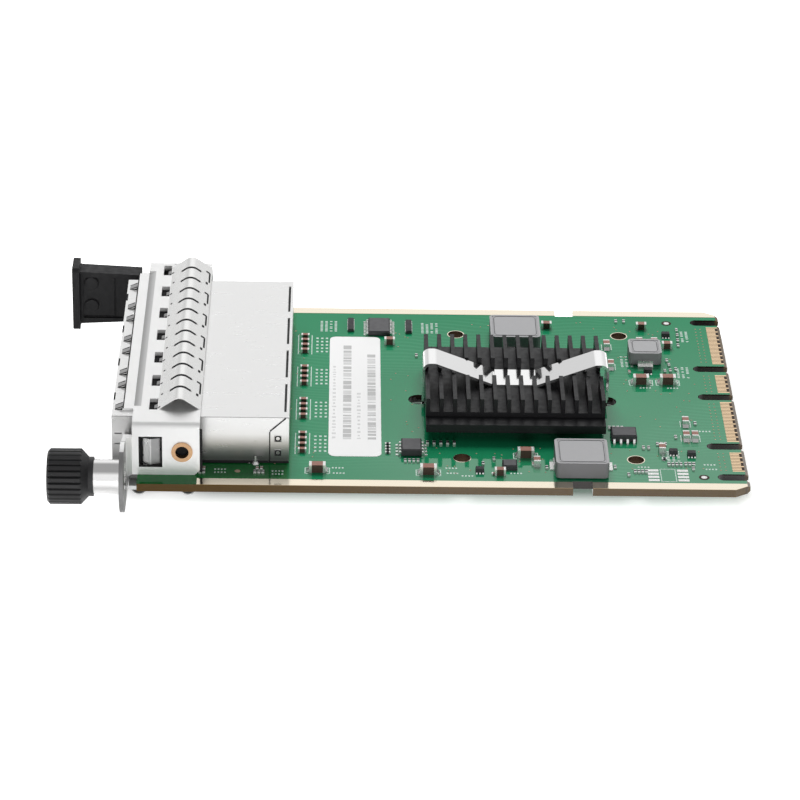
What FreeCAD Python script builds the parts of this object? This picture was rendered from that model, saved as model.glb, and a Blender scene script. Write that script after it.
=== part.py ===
import FreeCAD, Part
import math
import os
import re
import Sketcher

# Plug-in network card: circuit board, four-port jack, folded bracket with spring strips,
# captive thumbscrew, pull tab, and a heat sink under a bent steel clip. Millimetres.
# Origin: middle of the contact edge, on the board's upper face. +X runs from the ports to the contacts,
# +Y towards the pull tab's side, +Z up. Lengths called from_port start at the board's port end.

SIZES = {
    # Circuit board
    "board_length": 115.0,
    "board_width": 76.0,
    "board_thickness": 1.57,
    "corner_cut_along": 2.9,
    "corner_cut_across": 1.8,
    "side_notch_from_port": 81.6,
    "side_notch_length": 3.7,
    "side_notch_depth": 2.7,
    "edge_bevel_along": 0.6,
    "edge_bevel_height": 0.4,
    "key_slot_width": 2.5,
    "key_slot_depth": 7.0,
    "outer_slot_depth": 5.95,
    "standoff_hole_radius": 1.55,
    "standoff_from_port": 61.1,
    "standoff_spacing_along": 33.0,
    "standoff_spacing_across": 53.0,
    # Gold contacts and ground strips
    "gold_thickness": 0.04,
    "contact_pitch": 0.6,
    "contact_width": 0.4,
    "contact_length": 2.28,
    "signal_set_back": 0.5,
    "ground_strip_width": 2.4,
    "ground_strip_from_port": 11.2,
    # Paper label
    "label_from_port": 35.7,
    "label_along": 10.1,
    "label_across": 51.0,
    "label_shift": -0.8,
    "label_thickness": 0.1,
    "label_corner": 1.3,
    # Four-port jack
    "jack_overhang": 5.0,
    "jack_back_from_port": 28.3,
    "jack_width": 59.4,
    "jack_shift": 0.6,
    "jack_height": 9.6,
    "jack_sunk": 3.7,
    "jack_step_from_port": 20.6,
    "jack_gap": 0.4,
    "shield_thickness": 0.25,
    "port_count": 4,
    "port_pitch": 14.4,
    "port_width": 11.8,
    "port_height": 6.9,
    "port_floor": -0.5,
    "port_depth": 13.0,
    "latch_width": 6.2,
    "latch_height": 1.7,
    "port_reveal": 0.15,
    "light_width": 2.8,
    "light_height": 1.6,
    "light_depth": 4.0,
    "light_level": 7.2,
    "light_spread": 4.2,
    "wire_count": 8,
    "wire_pitch": 1.02,
    "wire_thickness": 0.35,
    "wire_run": 8.0,
    "wire_drop": 2.0,
    "transformer_from_port": 11.5,
    "transformer_along": 14.0,
    "transformer_across": 12.6,
    "transformer_height": 8.0,
    "pin_size": 0.5,
    "pin_hole_size": 0.8,
    "pin_spacing": 2.54,
    "pins_in_row": 4,
    "pin_rows": 2,
    "pin_length": 3.0,
    "tongue_spread": 4.5,
    "tongue_width": 2.2,
    "tongue_length": 1.4,
    "tongue_rise": 0.5,
    "tongue_set_back": 0.5,
    "tongue_slit": 0.25,
    "rear_slot_length": 11.6,
    "rear_slot_width": 0.45,
    "rear_slot_set_back": 0.5,
    # Folded bracket
    "bracket_sheet": 0.8,
    "bracket_bend": 1.2,
    "bracket_top": 10.7,
    "bracket_near": 34.3,
    "bracket_far": 37.1,
    "bracket_overhang": 0.9,
    "bracket_rear_from_port": 11.7,
    "face_overhang": 2.65,
    "face_margin": 0.5,
    "bottom_plate_gap": 0.5,
    "lip_reach": 2.1,
    "lip_sheet": 0.5,
    "lip_gap": 0.05,
    "lip_slope": 1.4,
    "lip_near": 27.0,
    "lip_far": 32.2,
    "wing_inner_top": 6.0,
    "wing_foot": 1.5,
    "ear_bend": 0.9,
    "ear_top": 8.0,
    "window_count": 7,
    "window_pitch": 9.8,
    "window_first": -26.2,
    "window_along": 1.6,
    "window_across": 4.5,
    "window_from_port": 2.0,
    "side_window_from_port": 0.3,
    "side_window_along": 4.4,
    "side_window_low": 1.6,
    "side_window_height": 6.4,
    "plate_corner_cut": 1.0,
    "ear_radius": 6.6,
    "tongue_reach": 11.5,
    "tongue_low": 0.6,
    "tongue_height": 7.6,
    # Spring strips and side springs
    "strip_sheet": 0.2,
    "strip_from_port": 3.7,
    "strip_along": 8.0,
    "strip_rise": 2.8,
    "strip_crown": 2.0,
    "strip_near": 28.2,
    "strip_far": 34.0,
    "slit_count": 12,
    "slit_width": 0.22,
    "slit_along": 4.4,
    "foot_front_from_port": -2.2,
    "foot_rear_from_port": 7.05,
    "foot_along": 4.4,
    "foot_rise": 2.7,
    "foot_crown": 1.6,
    "foot_near": 29.7,
    "foot_far": 31.0,
    "leaf_sheet": 0.2,
    "leaf_height": 5.6,
    "leaf_gap": 0.1,
    "leaf_root": 2.4,
    "leaf_crest": 0.55,
    # Brass eyelets
    "eyelet_from_port": 8.4,
    "eyelet_level": 4.87,
    "eyelet_bore_radius": 1.25,
    "eyelet_barrel_radius": 1.65,
    "eyelet_flange_radius": 2.0,
    "eyelet_flange": 0.3,
    # Captive thumbscrew
    "screw_across": 42.0,
    "screw_level": 3.65,
    "screw_radius": 1.5,
    "screw_clearance": 0.1,
    "screw_tip_inset": 0.2,
    "screw_travel": 3.6,
    "ferrule_radius": 3.2,
    "ferrule_shank_radius": 2.7,
    "ferrule_length": 5.95,
    "ferrule_lip": 0.6,
    "ferrule_chamber_radius": 2.4,
    "ring_radius": 2.3,
    "ring_thickness": 0.7,
    "stop_gap": 0.02,
    "spring_wire": 0.3,
    "spring_turns": 3.5,
    "spring_steps_a_turn": 14,
    "spring_wire_sides": 5,
    "knob_radius": 5.2,
    "knob_length": 8.5,
    "knob_grip_length": 6.2,
    "knob_edge": 0.5,
    "knob_taper": 1.4,
    "knob_collar_radius": 3.7,
    "knob_bore_gap": 0.1,
    "knob_overlap": 1.05,
    "knob_bore_room": 0.4,
    "knob_wall": 1.4,
    "knob_flutes": 28,
    "knob_flute_depth": 0.35,
    # Pull tab
    "tab_across": 36.0,
    "tab_thickness": 4.0,
    "tab_length": 12.55,
    "tab_level": 3.7,
    "tab_outer_height": 11.6,
    "tab_root_height": 10.3,
    "tab_plate_thickness": 1.45,
    "tab_plate_height": 13.7,
    "tab_plate_across": 6.4,
    "tab_corner": 0.9,
    "tab_panel_border": 0.6,
    "tab_panel_depth": 0.4,
    "tab_slot_gap": 0.05,
    "rivet_radius": 0.9,
    "rivet_head_radius": 1.3,
    "rivet_set_back": 10.2,
    "rivet_spacing": 5.0,
    # Heat sink, chip and clip
    "sink_from_port": 71.5,
    "sink_shift": -2.4,
    "sink_width": 34.4,
    "sink_level": 2.0,
    "sink_base": 1.65,
    "sink_ledge": 3.5,
    "sink_step": 0.95,
    "fin_count": 14,
    "fin_thickness": 0.78,
    "fin_height": 2.8,
    "fin_length": 28.0,
    "channel_width": 7.4,
    "chip_size": 23.0,
    "chip_height": 1.7,
    "clip_sheet": 0.5,
    "clip_width": 6.6,
    "clip_flat": 8.4,
    "clip_crest_height": 9.5,
    "clip_crest_inset": 1.6,
    "clip_bend": 1.3,
    "clip_leg_gap": 0.15,
    "clip_shift": 0.35,
    "clip_hole_offset": 0.5,
    "clip_foot_width": 2.6,
    "clip_foot_reach": 2.6,
    "clip_hole_radius": 2.0,
    # Power inductors
    "inductor_size": 10.0,
    "inductor_height": 3.4,
    "inductor_corner": 0.9,
    "small_inductor_size": 6.5,
    "small_inductor_height": 2.75,
    "rim_inset": 0.7,
    "rim_width": 0.2,
    "rim_depth": 0.12,
    "terminal_width": 3.0,
    "terminal_thickness": 0.25,
    "terminal_height": 1.1,
    "terminal_reach": 0.7,
    # Chips with leads
    "soic_long": 4.9,
    "soic_short": 3.9,
    "soic_height": 1.45,
    "soic_stand_off": 0.15,
    "soic_lead_pitch": 1.27,
    "soic_leads_a_side": 4,
    "soic_lead_width": 0.42,
    "soic_lead_reach": 1.05,
    "lead_sheet": 0.16,
    "controller_long": 6.5,
    "controller_short": 4.4,
    "controller_height": 1.05,
    "controller_lead_pitch": 0.65,
    "controller_leads_a_side": 10,
    "controller_lead_width": 0.3,
    "controller_lead_reach": 0.9,
    "regulator_size": 2.8,
    "regulator_height": 1.0,
    "body_draft": 0.25,
    # Ceramic capacitors: length with both plated ends, width, height and one end's length
    "bulk_length": 3.1,
    "bulk_width": 1.65,
    "bulk_height": 1.6,
    "bulk_end": 0.5,
    "middle_length": 2.1,
    "middle_width": 1.25,
    "middle_height": 1.25,
    "middle_end": 0.4,
    "little_length": 1.6,
    "little_width": 0.85,
    "little_height": 0.8,
    "little_end": 0.3,
    "filter_from_port": 30.75,
    "filter_shift": -0.1,
    "filter_pitch": 14.1,
    "filter_spacing": 2.2,
    "filter_in_group": 4,
}

# Places on the board: from the port end, and across from the middle line.
PLACES = {
    "key_slot_1": (115.0, 33.0),
    "key_slot_2": (115.0, 12.1),
    "key_slot_3": (115.0, -0.1),
    "key_slot_4": (115.0, -20.7),
    "key_slot_5": (115.0, -33.1),
    "inductor_near": (83.5, -29.5),
    "inductor_far": (72.9, 23.8),
    "inductor_small": (98.6, 16.6),
    "flash_chip": (51.5, -23.6),
    "monitor_chip": (92.3, -17.4),
    "controller_chip": (45.6, 28.6),
    "regulator_chip": (70.0, -29.8),
    "bulk_1": (33.7, -32.1),
    "bulk_2": (54.6, -32.5),
    "bulk_3": (73.2, -25.4),
    "bulk_4": (97.2, 5.8),
    "bulk_5": (102.5, 5.9),
    "middle_1": (98.85, 30.1),
    "middle_2": (79.6, 30.1),
    "middle_3": (47.7, 22.1),
    "middle_4": (103.5, 21.5),
    "middle_5": (68.1, -32.7),
    "upright_1": (104.6, -11.7),
    "upright_2": (104.3, -17.6),
    "upright_3": (106.0, -17.6),
    "upright_4": (99.3, -22.9),
    "upright_5": (91.3, 21.4),
    "upright_6": (91.6, 12.6),
    "upright_7": (98.0, 22.6),
    "upright_8": (101.0, 22.6),
    "upright_9": (75.2, -28.6),
}

# Contact groups on the edge: middle across the board, and number of sets of a ground and two signals.
# A last ground contact closes each group.
CONTACT_GROUPS = {
    "contacts_1": (22.6, 9),
    "contacts_2": (5.6, 4),
    "contacts_3": (-10.5, 9),
    "contacts_4": (-27.0, 4),
}

doc = FreeCAD.newDocument("network_card")
sheet = doc.addObject("Spreadsheet::Sheet", "Sizes")
names = dict(SIZES)
for place, (along, across) in PLACES.items():
    names[place + "_along"] = along
    names[place + "_across"] = across
for group, (middle, sets) in CONTACT_GROUPS.items():
    names[group + "_middle"] = middle
    names[group + "_sets"] = sets
for line, (name, number) in enumerate(names.items(), start=1):
    sheet.set(f"A{line}", name)
    sheet.set(f"B{line}", str(number))
    sheet.setAlias(f"B{line}", name)
doc.recompute()

WORD = re.compile(r"[a-z][a-z_0-9]*")
sub_parts = []


def formula(text):
    """The text with each size's name turned into a reference to its cell."""
    return WORD.sub(lambda word: f"Sizes.{word.group()}" if word.group() in names else word.group(), text)


def value(text):
    """The number that a formula of sizes gives now."""
    return float(sheet.evalExpression(formula(text)))


def bind(thing, place, text):
    """Tie a property of a document object to a formula of sizes."""
    thing.setExpression(place, formula(text))


def from_port(text):
    """X of a place that is measured from the board's port end."""
    return f"({text} - board_length)"


def keep(thing, label):
    """Name a sub-part and put it on the list that is written out."""
    thing.Label = label
    sub_parts.append(thing)
    return thing


# Helpers for bodies, sketches and features

def new_body(label, x="0", y="0", z="0"):
    body = doc.addObject("PartDesign::Body", label)
    for axis, text in (("x", x), ("y", y), ("z", z)):
        bind(body, f"Placement.Base.{axis}", text)
    return keep(body, label)


def new_sketch(body, name, role, offset="0"):
    sketch = body.newObject("Sketcher::SketchObject", name)
    plane = next(item for item in body.Origin.OriginFeatures if item.Role == role)
    sketch.AttachmentSupport = [(plane, "")]
    sketch.MapMode = "FlatFace"
    bind(sketch, "AttachmentOffset.Base.z", offset)
    return sketch


def tie_point(sketch, element, end, x, y):
    """Hold one point of a sketch at formulas of sizes, measured from the sketch's origin."""
    for kind, text in (("DistanceX", x), ("DistanceY", y)):
        number = sketch.addConstraint(Sketcher.Constraint(kind, -1, 1, element, end, value(text)))
        bind(sketch, f"Constraints[{number}]", text)


def add_polygon(sketch, corners):
    """Add a closed outline of straight lines with every corner tied to sizes."""
    points = [FreeCAD.Vector(value(x), value(y), 0) for x, y in corners]
    first = sketch.GeometryCount
    total = len(points)
    for index in range(total):
        sketch.addGeometry(Part.LineSegment(points[index], points[(index + 1) % total]))
    for index in range(total):
        follower = first + (index + 1) % total
        sketch.addConstraint(Sketcher.Constraint("Coincident", first + index, 2, follower, 1))
    for index, (x, y) in enumerate(corners):
        tie_point(sketch, first + index, 1, x, y)


def add_rectangle(sketch, left, right, low, high):
    add_polygon(sketch, [(left, low), (right, low), (right, high), (left, high)])


def add_circle(sketch, x, y, radius):
    middle = FreeCAD.Vector(value(x), value(y), 0)
    circle = sketch.addGeometry(Part.Circle(middle, FreeCAD.Vector(0, 0, 1), value(radius)))
    tie_point(sketch, circle, 3, x, y)
    number = sketch.addConstraint(Sketcher.Constraint("Radius", circle, value(radius)))
    bind(sketch, f"Constraints[{number}]", radius)


def add_open_slot(sketch, mouth, middle, y, radius):
    """Add a slot whose inner end is a half circle about (middle, y) and whose mouth is straight."""
    up = FreeCAD.Vector(0, value(radius), 0)
    centre = FreeCAD.Vector(value(middle), value(y), 0)
    outside = FreeCAD.Vector(value(mouth), value(y), 0)
    low = sketch.addGeometry(Part.LineSegment(outside - up, centre - up))
    circle = Part.Circle(centre, FreeCAD.Vector(0, 0, 1), value(radius))
    bow = sketch.addGeometry(Part.ArcOfCircle(circle, math.pi / 2, 3 * math.pi / 2))
    high = sketch.addGeometry(Part.LineSegment(centre + up, outside + up))
    end = sketch.addGeometry(Part.LineSegment(outside + up, outside - up))
    sketch.addConstraint(Sketcher.Constraint("Tangent", low, 2, bow, 2))
    sketch.addConstraint(Sketcher.Constraint("Tangent", bow, 1, high, 1))
    sketch.addConstraint(Sketcher.Constraint("Coincident", high, 2, end, 1))
    sketch.addConstraint(Sketcher.Constraint("Coincident", end, 2, low, 1))
    sketch.addConstraint(Sketcher.Constraint("Horizontal", low))
    sketch.addConstraint(Sketcher.Constraint("Horizontal", high))
    tie_point(sketch, bow, 3, middle, y)
    number = sketch.addConstraint(Sketcher.Constraint("Radius", bow, value(radius)))
    bind(sketch, f"Constraints[{number}]", radius)
    number = sketch.addConstraint(Sketcher.Constraint("DistanceX", -1, 1, end, 1, value(mouth)))
    bind(sketch, f"Constraints[{number}]", mouth)


def pad(body, sketch, length, reverse=False, both=False):
    feature = body.newObject("PartDesign::Pad", sketch.Name + "_pad")
    feature.Profile = sketch
    feature.Reversed = reverse
    feature.Midplane = both
    bind(feature, "Length", length)
    doc.recompute()
    return feature


def pocket(body, sketch, length=None, reverse=False, both=False):
    """Cut a sketch into the body, through it where no length is given; the volume has to fall."""
    before = body.Shape.Volume
    feature = body.newObject("PartDesign::Pocket", sketch.Name + "_pocket")
    feature.Profile = sketch
    feature.Reversed = reverse
    feature.Midplane = both
    if length is None:
        feature.Type = "ThroughAll"
    else:
        bind(feature, "Length", length)
    doc.recompute()
    if body.Shape.Volume >= before:
        raise ValueError(f"{sketch.Name} cuts nothing from {body.Label}")
    return feature


def row(body, features, sketch, axis, count, spacing):
    """Repeat features in a line along a sketch axis, by their number and spacing."""
    pattern = body.newObject("PartDesign::LinearPattern", features[0].Name + "_row")
    pattern.Originals = features
    pattern.Direction = (sketch, [axis])
    bind(pattern, "Length", f"({count} - 1) * ({spacing})")
    bind(pattern, "Occurrences", count)
    body.Tip = pattern
    doc.recompute()
    return pattern


def revolve(body, name, corners):
    """Turn an outline of (along, radius) corners about the body's X axis."""
    sketch = new_sketch(body, name, "XY_Plane")
    add_polygon(sketch, corners)
    feature = body.newObject("PartDesign::Revolution", name + "_turned")
    feature.Profile = sketch
    feature.ReferenceAxis = (sketch, ["H_Axis"])
    feature.Angle = 360
    doc.recompute()
    return feature


def round_edges(body, feature, radius, chosen, kind="Fillet"):
    """Fillet or chamfer the edges of a feature that a test picks by their place."""
    picked = [f"Edge{i}" for i, edge in enumerate(feature.Shape.Edges, start=1) if chosen(edge)]
    if not picked:
        raise ValueError(f"no edge picked on {body.Label}")
    finish = body.newObject(f"PartDesign::{kind}", f"{feature.Name}_{kind.lower()}")
    finish.Base = (feature, picked)
    bind(finish, "Radius" if kind == "Fillet" else "Size", radius)
    body.Tip = finish
    doc.recompute()
    return finish


def runs_along(edge, axis):
    """True for a straight edge that runs along one axis: 0 for X, 1 for Y, 2 for Z."""
    if len(edge.Vertexes) != 2 or not isinstance(edge.Curve, Part.Line):
        return False
    return abs(abs(edge.tangentAt(edge.FirstParameter)[axis]) - 1) < 1e-6


def near(number, other, margin=1e-4):
    return abs(number - other) < margin


# Helpers for solids that are set directly

def block(left, right, near_side, far_side, low, high):
    """A box between two values on each axis."""
    corner = FreeCAD.Vector(left, near_side, low)
    return Part.makeBox(right - left, far_side - near_side, high - low, corner)


def add_shape(label, shape):
    feature = doc.addObject("Part::Feature", label)
    feature.Shape = shape
    return keep(feature, label)


def one_side(points, shift, bend):
    """Edges of a bent line's left side, shifted outwards, with round bends on the line itself."""
    corners = [FreeCAD.Vector(x, y, 0) for x, y in points]
    ways = [(after - before).normalize() for before, after in zip(corners, corners[1:])]
    sides = [FreeCAD.Vector(-way.y, way.x, 0) for way in ways]
    edges = []
    here = corners[0] + sides[0] * shift
    for index in range(1, len(corners) - 1):
        before, after = ways[index - 1], ways[index]
        turn = math.atan2(before.x * after.y - before.y * after.x, before.dot(after))
        hand = math.copysign(1, turn)
        blend = (sides[index - 1] + sides[index]) * (shift / (1 + sides[index - 1].dot(sides[index])))
        tip = corners[index] + blend
        radius = bend - hand * shift
        if radius > 1e-6 and bend > 0:
            back = radius * math.tan(abs(turn) / 2)
            start = tip - before * back
            stop = tip + after * back
            centre = start + sides[index - 1] * (hand * radius)
            crown = centre + (tip - centre).normalize() * radius
            edges.append(Part.LineSegment(here, start).toShape())
            edges.append(Part.Arc(start, crown, stop).toShape())
            here = stop
        else:
            edges.append(Part.LineSegment(here, tip).toShape())
            here = tip
    edges.append(Part.LineSegment(here, corners[-1] + sides[-1] * shift).toShape())
    return edges


def bent_sheet(points, thickness, bend, turn, run):
    """A strip of sheet that follows a bent centre line in a plane, as wide as the run.

    points are drawn in X and Y, turn is the placement that puts that plane in the model.
    """
    there = one_side(points, thickness / 2, bend)
    back = one_side(points[::-1], thickness / 2, bend)
    edges = there
    edges.append(Part.LineSegment(there[-1].lastVertex().Point, back[0].firstVertex().Point).toShape())
    edges = edges + back
    edges.append(Part.LineSegment(back[-1].lastVertex().Point, there[0].firstVertex().Point).toShape())
    face = Part.Face(Part.Wire(Part.__sortEdges__(edges)))
    face.Placement = turn
    return face.extrude(run)


def plane_xz(y):
    """Placement that lays a drawing's X and Y along the model's X and Z, at one Y."""
    return FreeCAD.Placement(FreeCAD.Vector(0, y, 0), FreeCAD.Rotation(FreeCAD.Vector(1, 0, 0), 90))


def plane_xy(z):
    """Placement that lays a drawing flat at one height."""
    return FreeCAD.Placement(FreeCAD.Vector(0, 0, z), FreeCAD.Rotation())


# Circuit board

JACK_NEAR = "(jack_shift - jack_width / 2)"
JACK_FAR = "(jack_shift + jack_width / 2)"
BOARD_UNDER = "(0 - board_thickness)"
KEY_SLOT_DEPTHS = ("outer_slot_depth", "key_slot_depth", "key_slot_depth", "key_slot_depth", "outer_slot_depth")
PIN_X = from_port("(jack_step_from_port + jack_back_from_port) / 2 - (pin_rows - 1) * pin_spacing / 2")


def build_board():
    body = new_body("circuit_board")
    side = "board_width / 2"
    notch_start = from_port("side_notch_from_port")
    notch_end = from_port("side_notch_from_port + side_notch_length")
    shallow = "board_width / 2 - side_notch_depth"
    cut_end = from_port("jack_step_from_port + jack_gap")
    cut_near = f"{JACK_NEAR} - jack_gap"
    cut_far = f"{JACK_FAR} + jack_gap"
    port = "(0 - board_length)"
    outline = new_sketch(body, "board_outline", "XY_Plane")
    add_polygon(outline, [
        (port, f"0 - {side}"), (notch_start, f"0 - {side}"), (notch_start, f"0 - ({shallow})"),
        (notch_end, f"0 - ({shallow})"), (notch_end, f"0 - {side}"),
        ("0 - corner_cut_along", f"0 - {side}"), ("0", f"corner_cut_across - {side}"),
        ("0", f"{side} - corner_cut_across"), ("0 - corner_cut_along", side),
        (notch_end, side), (notch_end, shallow), (notch_start, shallow), (notch_start, side),
        (port, side), (port, cut_far), (cut_end, cut_far), (cut_end, cut_near), (port, cut_near),
    ])
    pad(body, outline, "board_thickness", reverse=True)
    slots = new_sketch(body, "key_slots", "XY_Plane")
    for number, depth in enumerate(KEY_SLOT_DEPTHS, start=1):
        place = from_port(f"key_slot_{number}_along")
        add_open_slot(slots, "key_slot_width", f"{place} - {depth} + key_slot_width / 2",
                      f"key_slot_{number}_across", "key_slot_width / 2")
    pocket(body, slots)
    holes = new_sketch(body, "round_holes", "XY_Plane")
    for step in ("0", "standoff_spacing_along"):
        for hand in ("-", "+"):
            add_circle(holes, from_port(f"standoff_from_port + {step}"),
                       f"0 {hand} standoff_spacing_across / 2", "standoff_hole_radius")
    for hand in ("-", "+"):
        add_circle(holes, f"{SINK_X} {hand} ({CLIP_LEG} + clip_hole_offset)", "sink_shift", "clip_hole_radius")
    pocket(body, holes)
    pins = new_sketch(body, "pin_holes", "XY_Plane")
    for rank in range(int(value("pin_rows"))):
        for pin in range(int(value("pins_in_row"))):
            along = f"{PIN_X} + {rank} * pin_spacing"
            across = f"jack_shift + {FIRST_PORT} + ({pin} - (pins_in_row - 1) / 2) * pin_spacing"
            add_rectangle(pins, f"{along} - pin_hole_size / 2", f"{along} + pin_hole_size / 2",
                          f"{across} - pin_hole_size / 2", f"{across} + pin_hole_size / 2")
    pin_holes = pocket(body, pins)
    row(body, [pin_holes], pins, "V_Axis", "port_count", "port_pitch")
    bevel = new_sketch(body, "edge_bevel", "XZ_Plane")
    inner = "0 - edge_bevel_along"
    add_polygon(bevel, [("0", "0"), (inner, "0"), ("0", "0 - edge_bevel_height")])
    add_polygon(bevel, [("0", BOARD_UNDER), ("0", f"{BOARD_UNDER} + edge_bevel_height"), (inner, BOARD_UNDER)])
    pocket(body, bevel, both=True)


def build_contacts():
    """Gold contacts on both faces of the edge, one strip of copper each."""
    body = new_body("edge_contacts")
    left = "0 - edge_bevel_along - contact_length"
    right = "0 - edge_bevel_along"
    short = "0 - edge_bevel_along - signal_set_back"
    for face, offset, reverse in (("upper", "0", False), ("lower", BOARD_UNDER, True)):
        for group in CONTACT_GROUPS:
            first = f"{group}_middle - {group}_sets * 3 * contact_pitch / 2"
            grounds = new_sketch(body, f"{group}_grounds_{face}", "XY_Plane", offset)
            add_rectangle(grounds, left, right, f"{first} - contact_width / 2", f"{first} + contact_width / 2")
            long_contact = pad(body, grounds, "gold_thickness", reverse=reverse)
            row(body, [long_contact], grounds, "V_Axis", f"{group}_sets + 1", "3 * contact_pitch")
            signals = new_sketch(body, f"{group}_signals_{face}", "XY_Plane", offset)
            for place in (f"{first} + contact_pitch", f"{first} + 2 * contact_pitch"):
                add_rectangle(signals, left, short, f"{place} - contact_width / 2", f"{place} + contact_width / 2")
            short_contacts = pad(body, signals, "gold_thickness", reverse=reverse)
            row(body, [short_contacts], signals, "V_Axis", f"{group}_sets", "3 * contact_pitch")


def build_ground_strips():
    """Gold strips along both long edges, broken by the side notches and cut with the rear corners."""
    for label, hand in (("ground_strip_near", "-"), ("ground_strip_far", "+")):
        body = new_body(label)
        sketch = new_sketch(body, label + "_outline", "XY_Plane")
        outer = f"0 {hand} board_width / 2"
        inner = f"0 {hand} (board_width / 2 - ground_strip_width)"
        notch_start = from_port("side_notch_from_port")
        notch_end = from_port("side_notch_from_port + side_notch_length")
        add_rectangle(sketch, from_port("ground_strip_from_port"), notch_start, outer, inner)
        end = "0 - edge_bevel_along"
        corner = f"0 {hand} (board_width / 2 - corner_cut_across * (1 - edge_bevel_along / corner_cut_along))"
        add_polygon(sketch, [(notch_end, outer), ("0 - corner_cut_along", outer), (end, corner), (end, inner),
                             (notch_end, inner)])
        pad(body, sketch, "gold_thickness")


def build_label():
    body = new_body("paper_label", from_port("label_from_port + label_along / 2"), "label_shift")
    sketch = new_sketch(body, "label_outline", "XY_Plane")
    add_rectangle(sketch, "0 - label_along / 2", "label_along / 2", "0 - label_across / 2", "label_across / 2")
    paper = pad(body, sketch, "label_thickness")
    round_edges(body, paper, "label_corner", lambda edge: runs_along(edge, 2))


# Four-port jack: shield, housing, wires, lights, transformers and pins

SHIELD_FRONT = "(0 - board_length - jack_overhang)"
HOUSING_FRONT = "(shield_thickness - board_length - jack_overhang)"
HOUSING_TOP = "(jack_height - shield_thickness)"
HOUSING_BACK = from_port("jack_back_from_port - shield_thickness")
FIRST_PORT = "(0 - (port_count - 1) * port_pitch / 2)"
PORT_CEILING = "(port_floor + port_height)"


def add_port_outline(sketch, reveal):
    """Outline of the first port: a wide mouth over a narrow latch slot, larger by the reveal."""
    wide = f"port_width / 2 + {reveal}"
    slim = f"latch_width / 2 + {reveal}"
    floor = f"port_floor - {reveal}"
    under = f"port_floor - latch_height - {reveal}"
    ceiling = f"{PORT_CEILING} + {reveal}"
    add_polygon(sketch, [
        (f"{FIRST_PORT} - ({slim})", under), (f"{FIRST_PORT} + ({slim})", under),
        (f"{FIRST_PORT} + ({slim})", floor), (f"{FIRST_PORT} + ({wide})", floor),
        (f"{FIRST_PORT} + ({wide})", ceiling), (f"{FIRST_PORT} - ({wide})", ceiling),
        (f"{FIRST_PORT} - ({wide})", floor), (f"{FIRST_PORT} - ({slim})", floor),
    ])


def add_light_outlines(sketch):
    """Outlines of the first port's two light windows."""
    for hand in ("-", "+"):
        middle = f"{FIRST_PORT} {hand} light_spread"
        add_rectangle(sketch, f"{middle} - light_width / 2", f"{middle} + light_width / 2",
                      "light_level", "light_level + light_height")


def build_jack_housing():
    body = new_body("jack_housing", y="jack_shift")
    step = from_port("jack_step_from_port")
    side = new_sketch(body, "housing_side", "XZ_Plane")
    add_polygon(side, [(HOUSING_FRONT, "0 - jack_sunk"), (step, "0 - jack_sunk"), (step, "0"),
                       (HOUSING_BACK, "0"), (HOUSING_BACK, HOUSING_TOP), (HOUSING_FRONT, HOUSING_TOP)])
    pad(body, side, "jack_width - 2 * shield_thickness", both=True)
    mouth = new_sketch(body, "port_mouth", "YZ_Plane", HOUSING_FRONT)
    add_port_outline(mouth, "0")
    cavity = pocket(body, mouth, "port_depth", reverse=True)
    row(body, [cavity], mouth, "H_Axis", "port_count", "port_pitch")
    lights = new_sketch(body, "light_pockets", "YZ_Plane", HOUSING_FRONT)
    add_light_outlines(lights)
    pockets = pocket(body, lights, "light_depth", reverse=True)
    row(body, [pockets], lights, "H_Axis", "port_count", "port_pitch")
    well = new_sketch(body, "transformer_well", "XY_Plane", HOUSING_TOP)
    start = from_port("transformer_from_port")
    add_rectangle(well, start, f"{start} + transformer_along", f"{FIRST_PORT} - transformer_across / 2",
                  f"{FIRST_PORT} + transformer_across / 2")
    wells = pocket(body, well, "transformer_height")
    row(body, [wells], well, "V_Axis", "port_count", "port_pitch")


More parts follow.
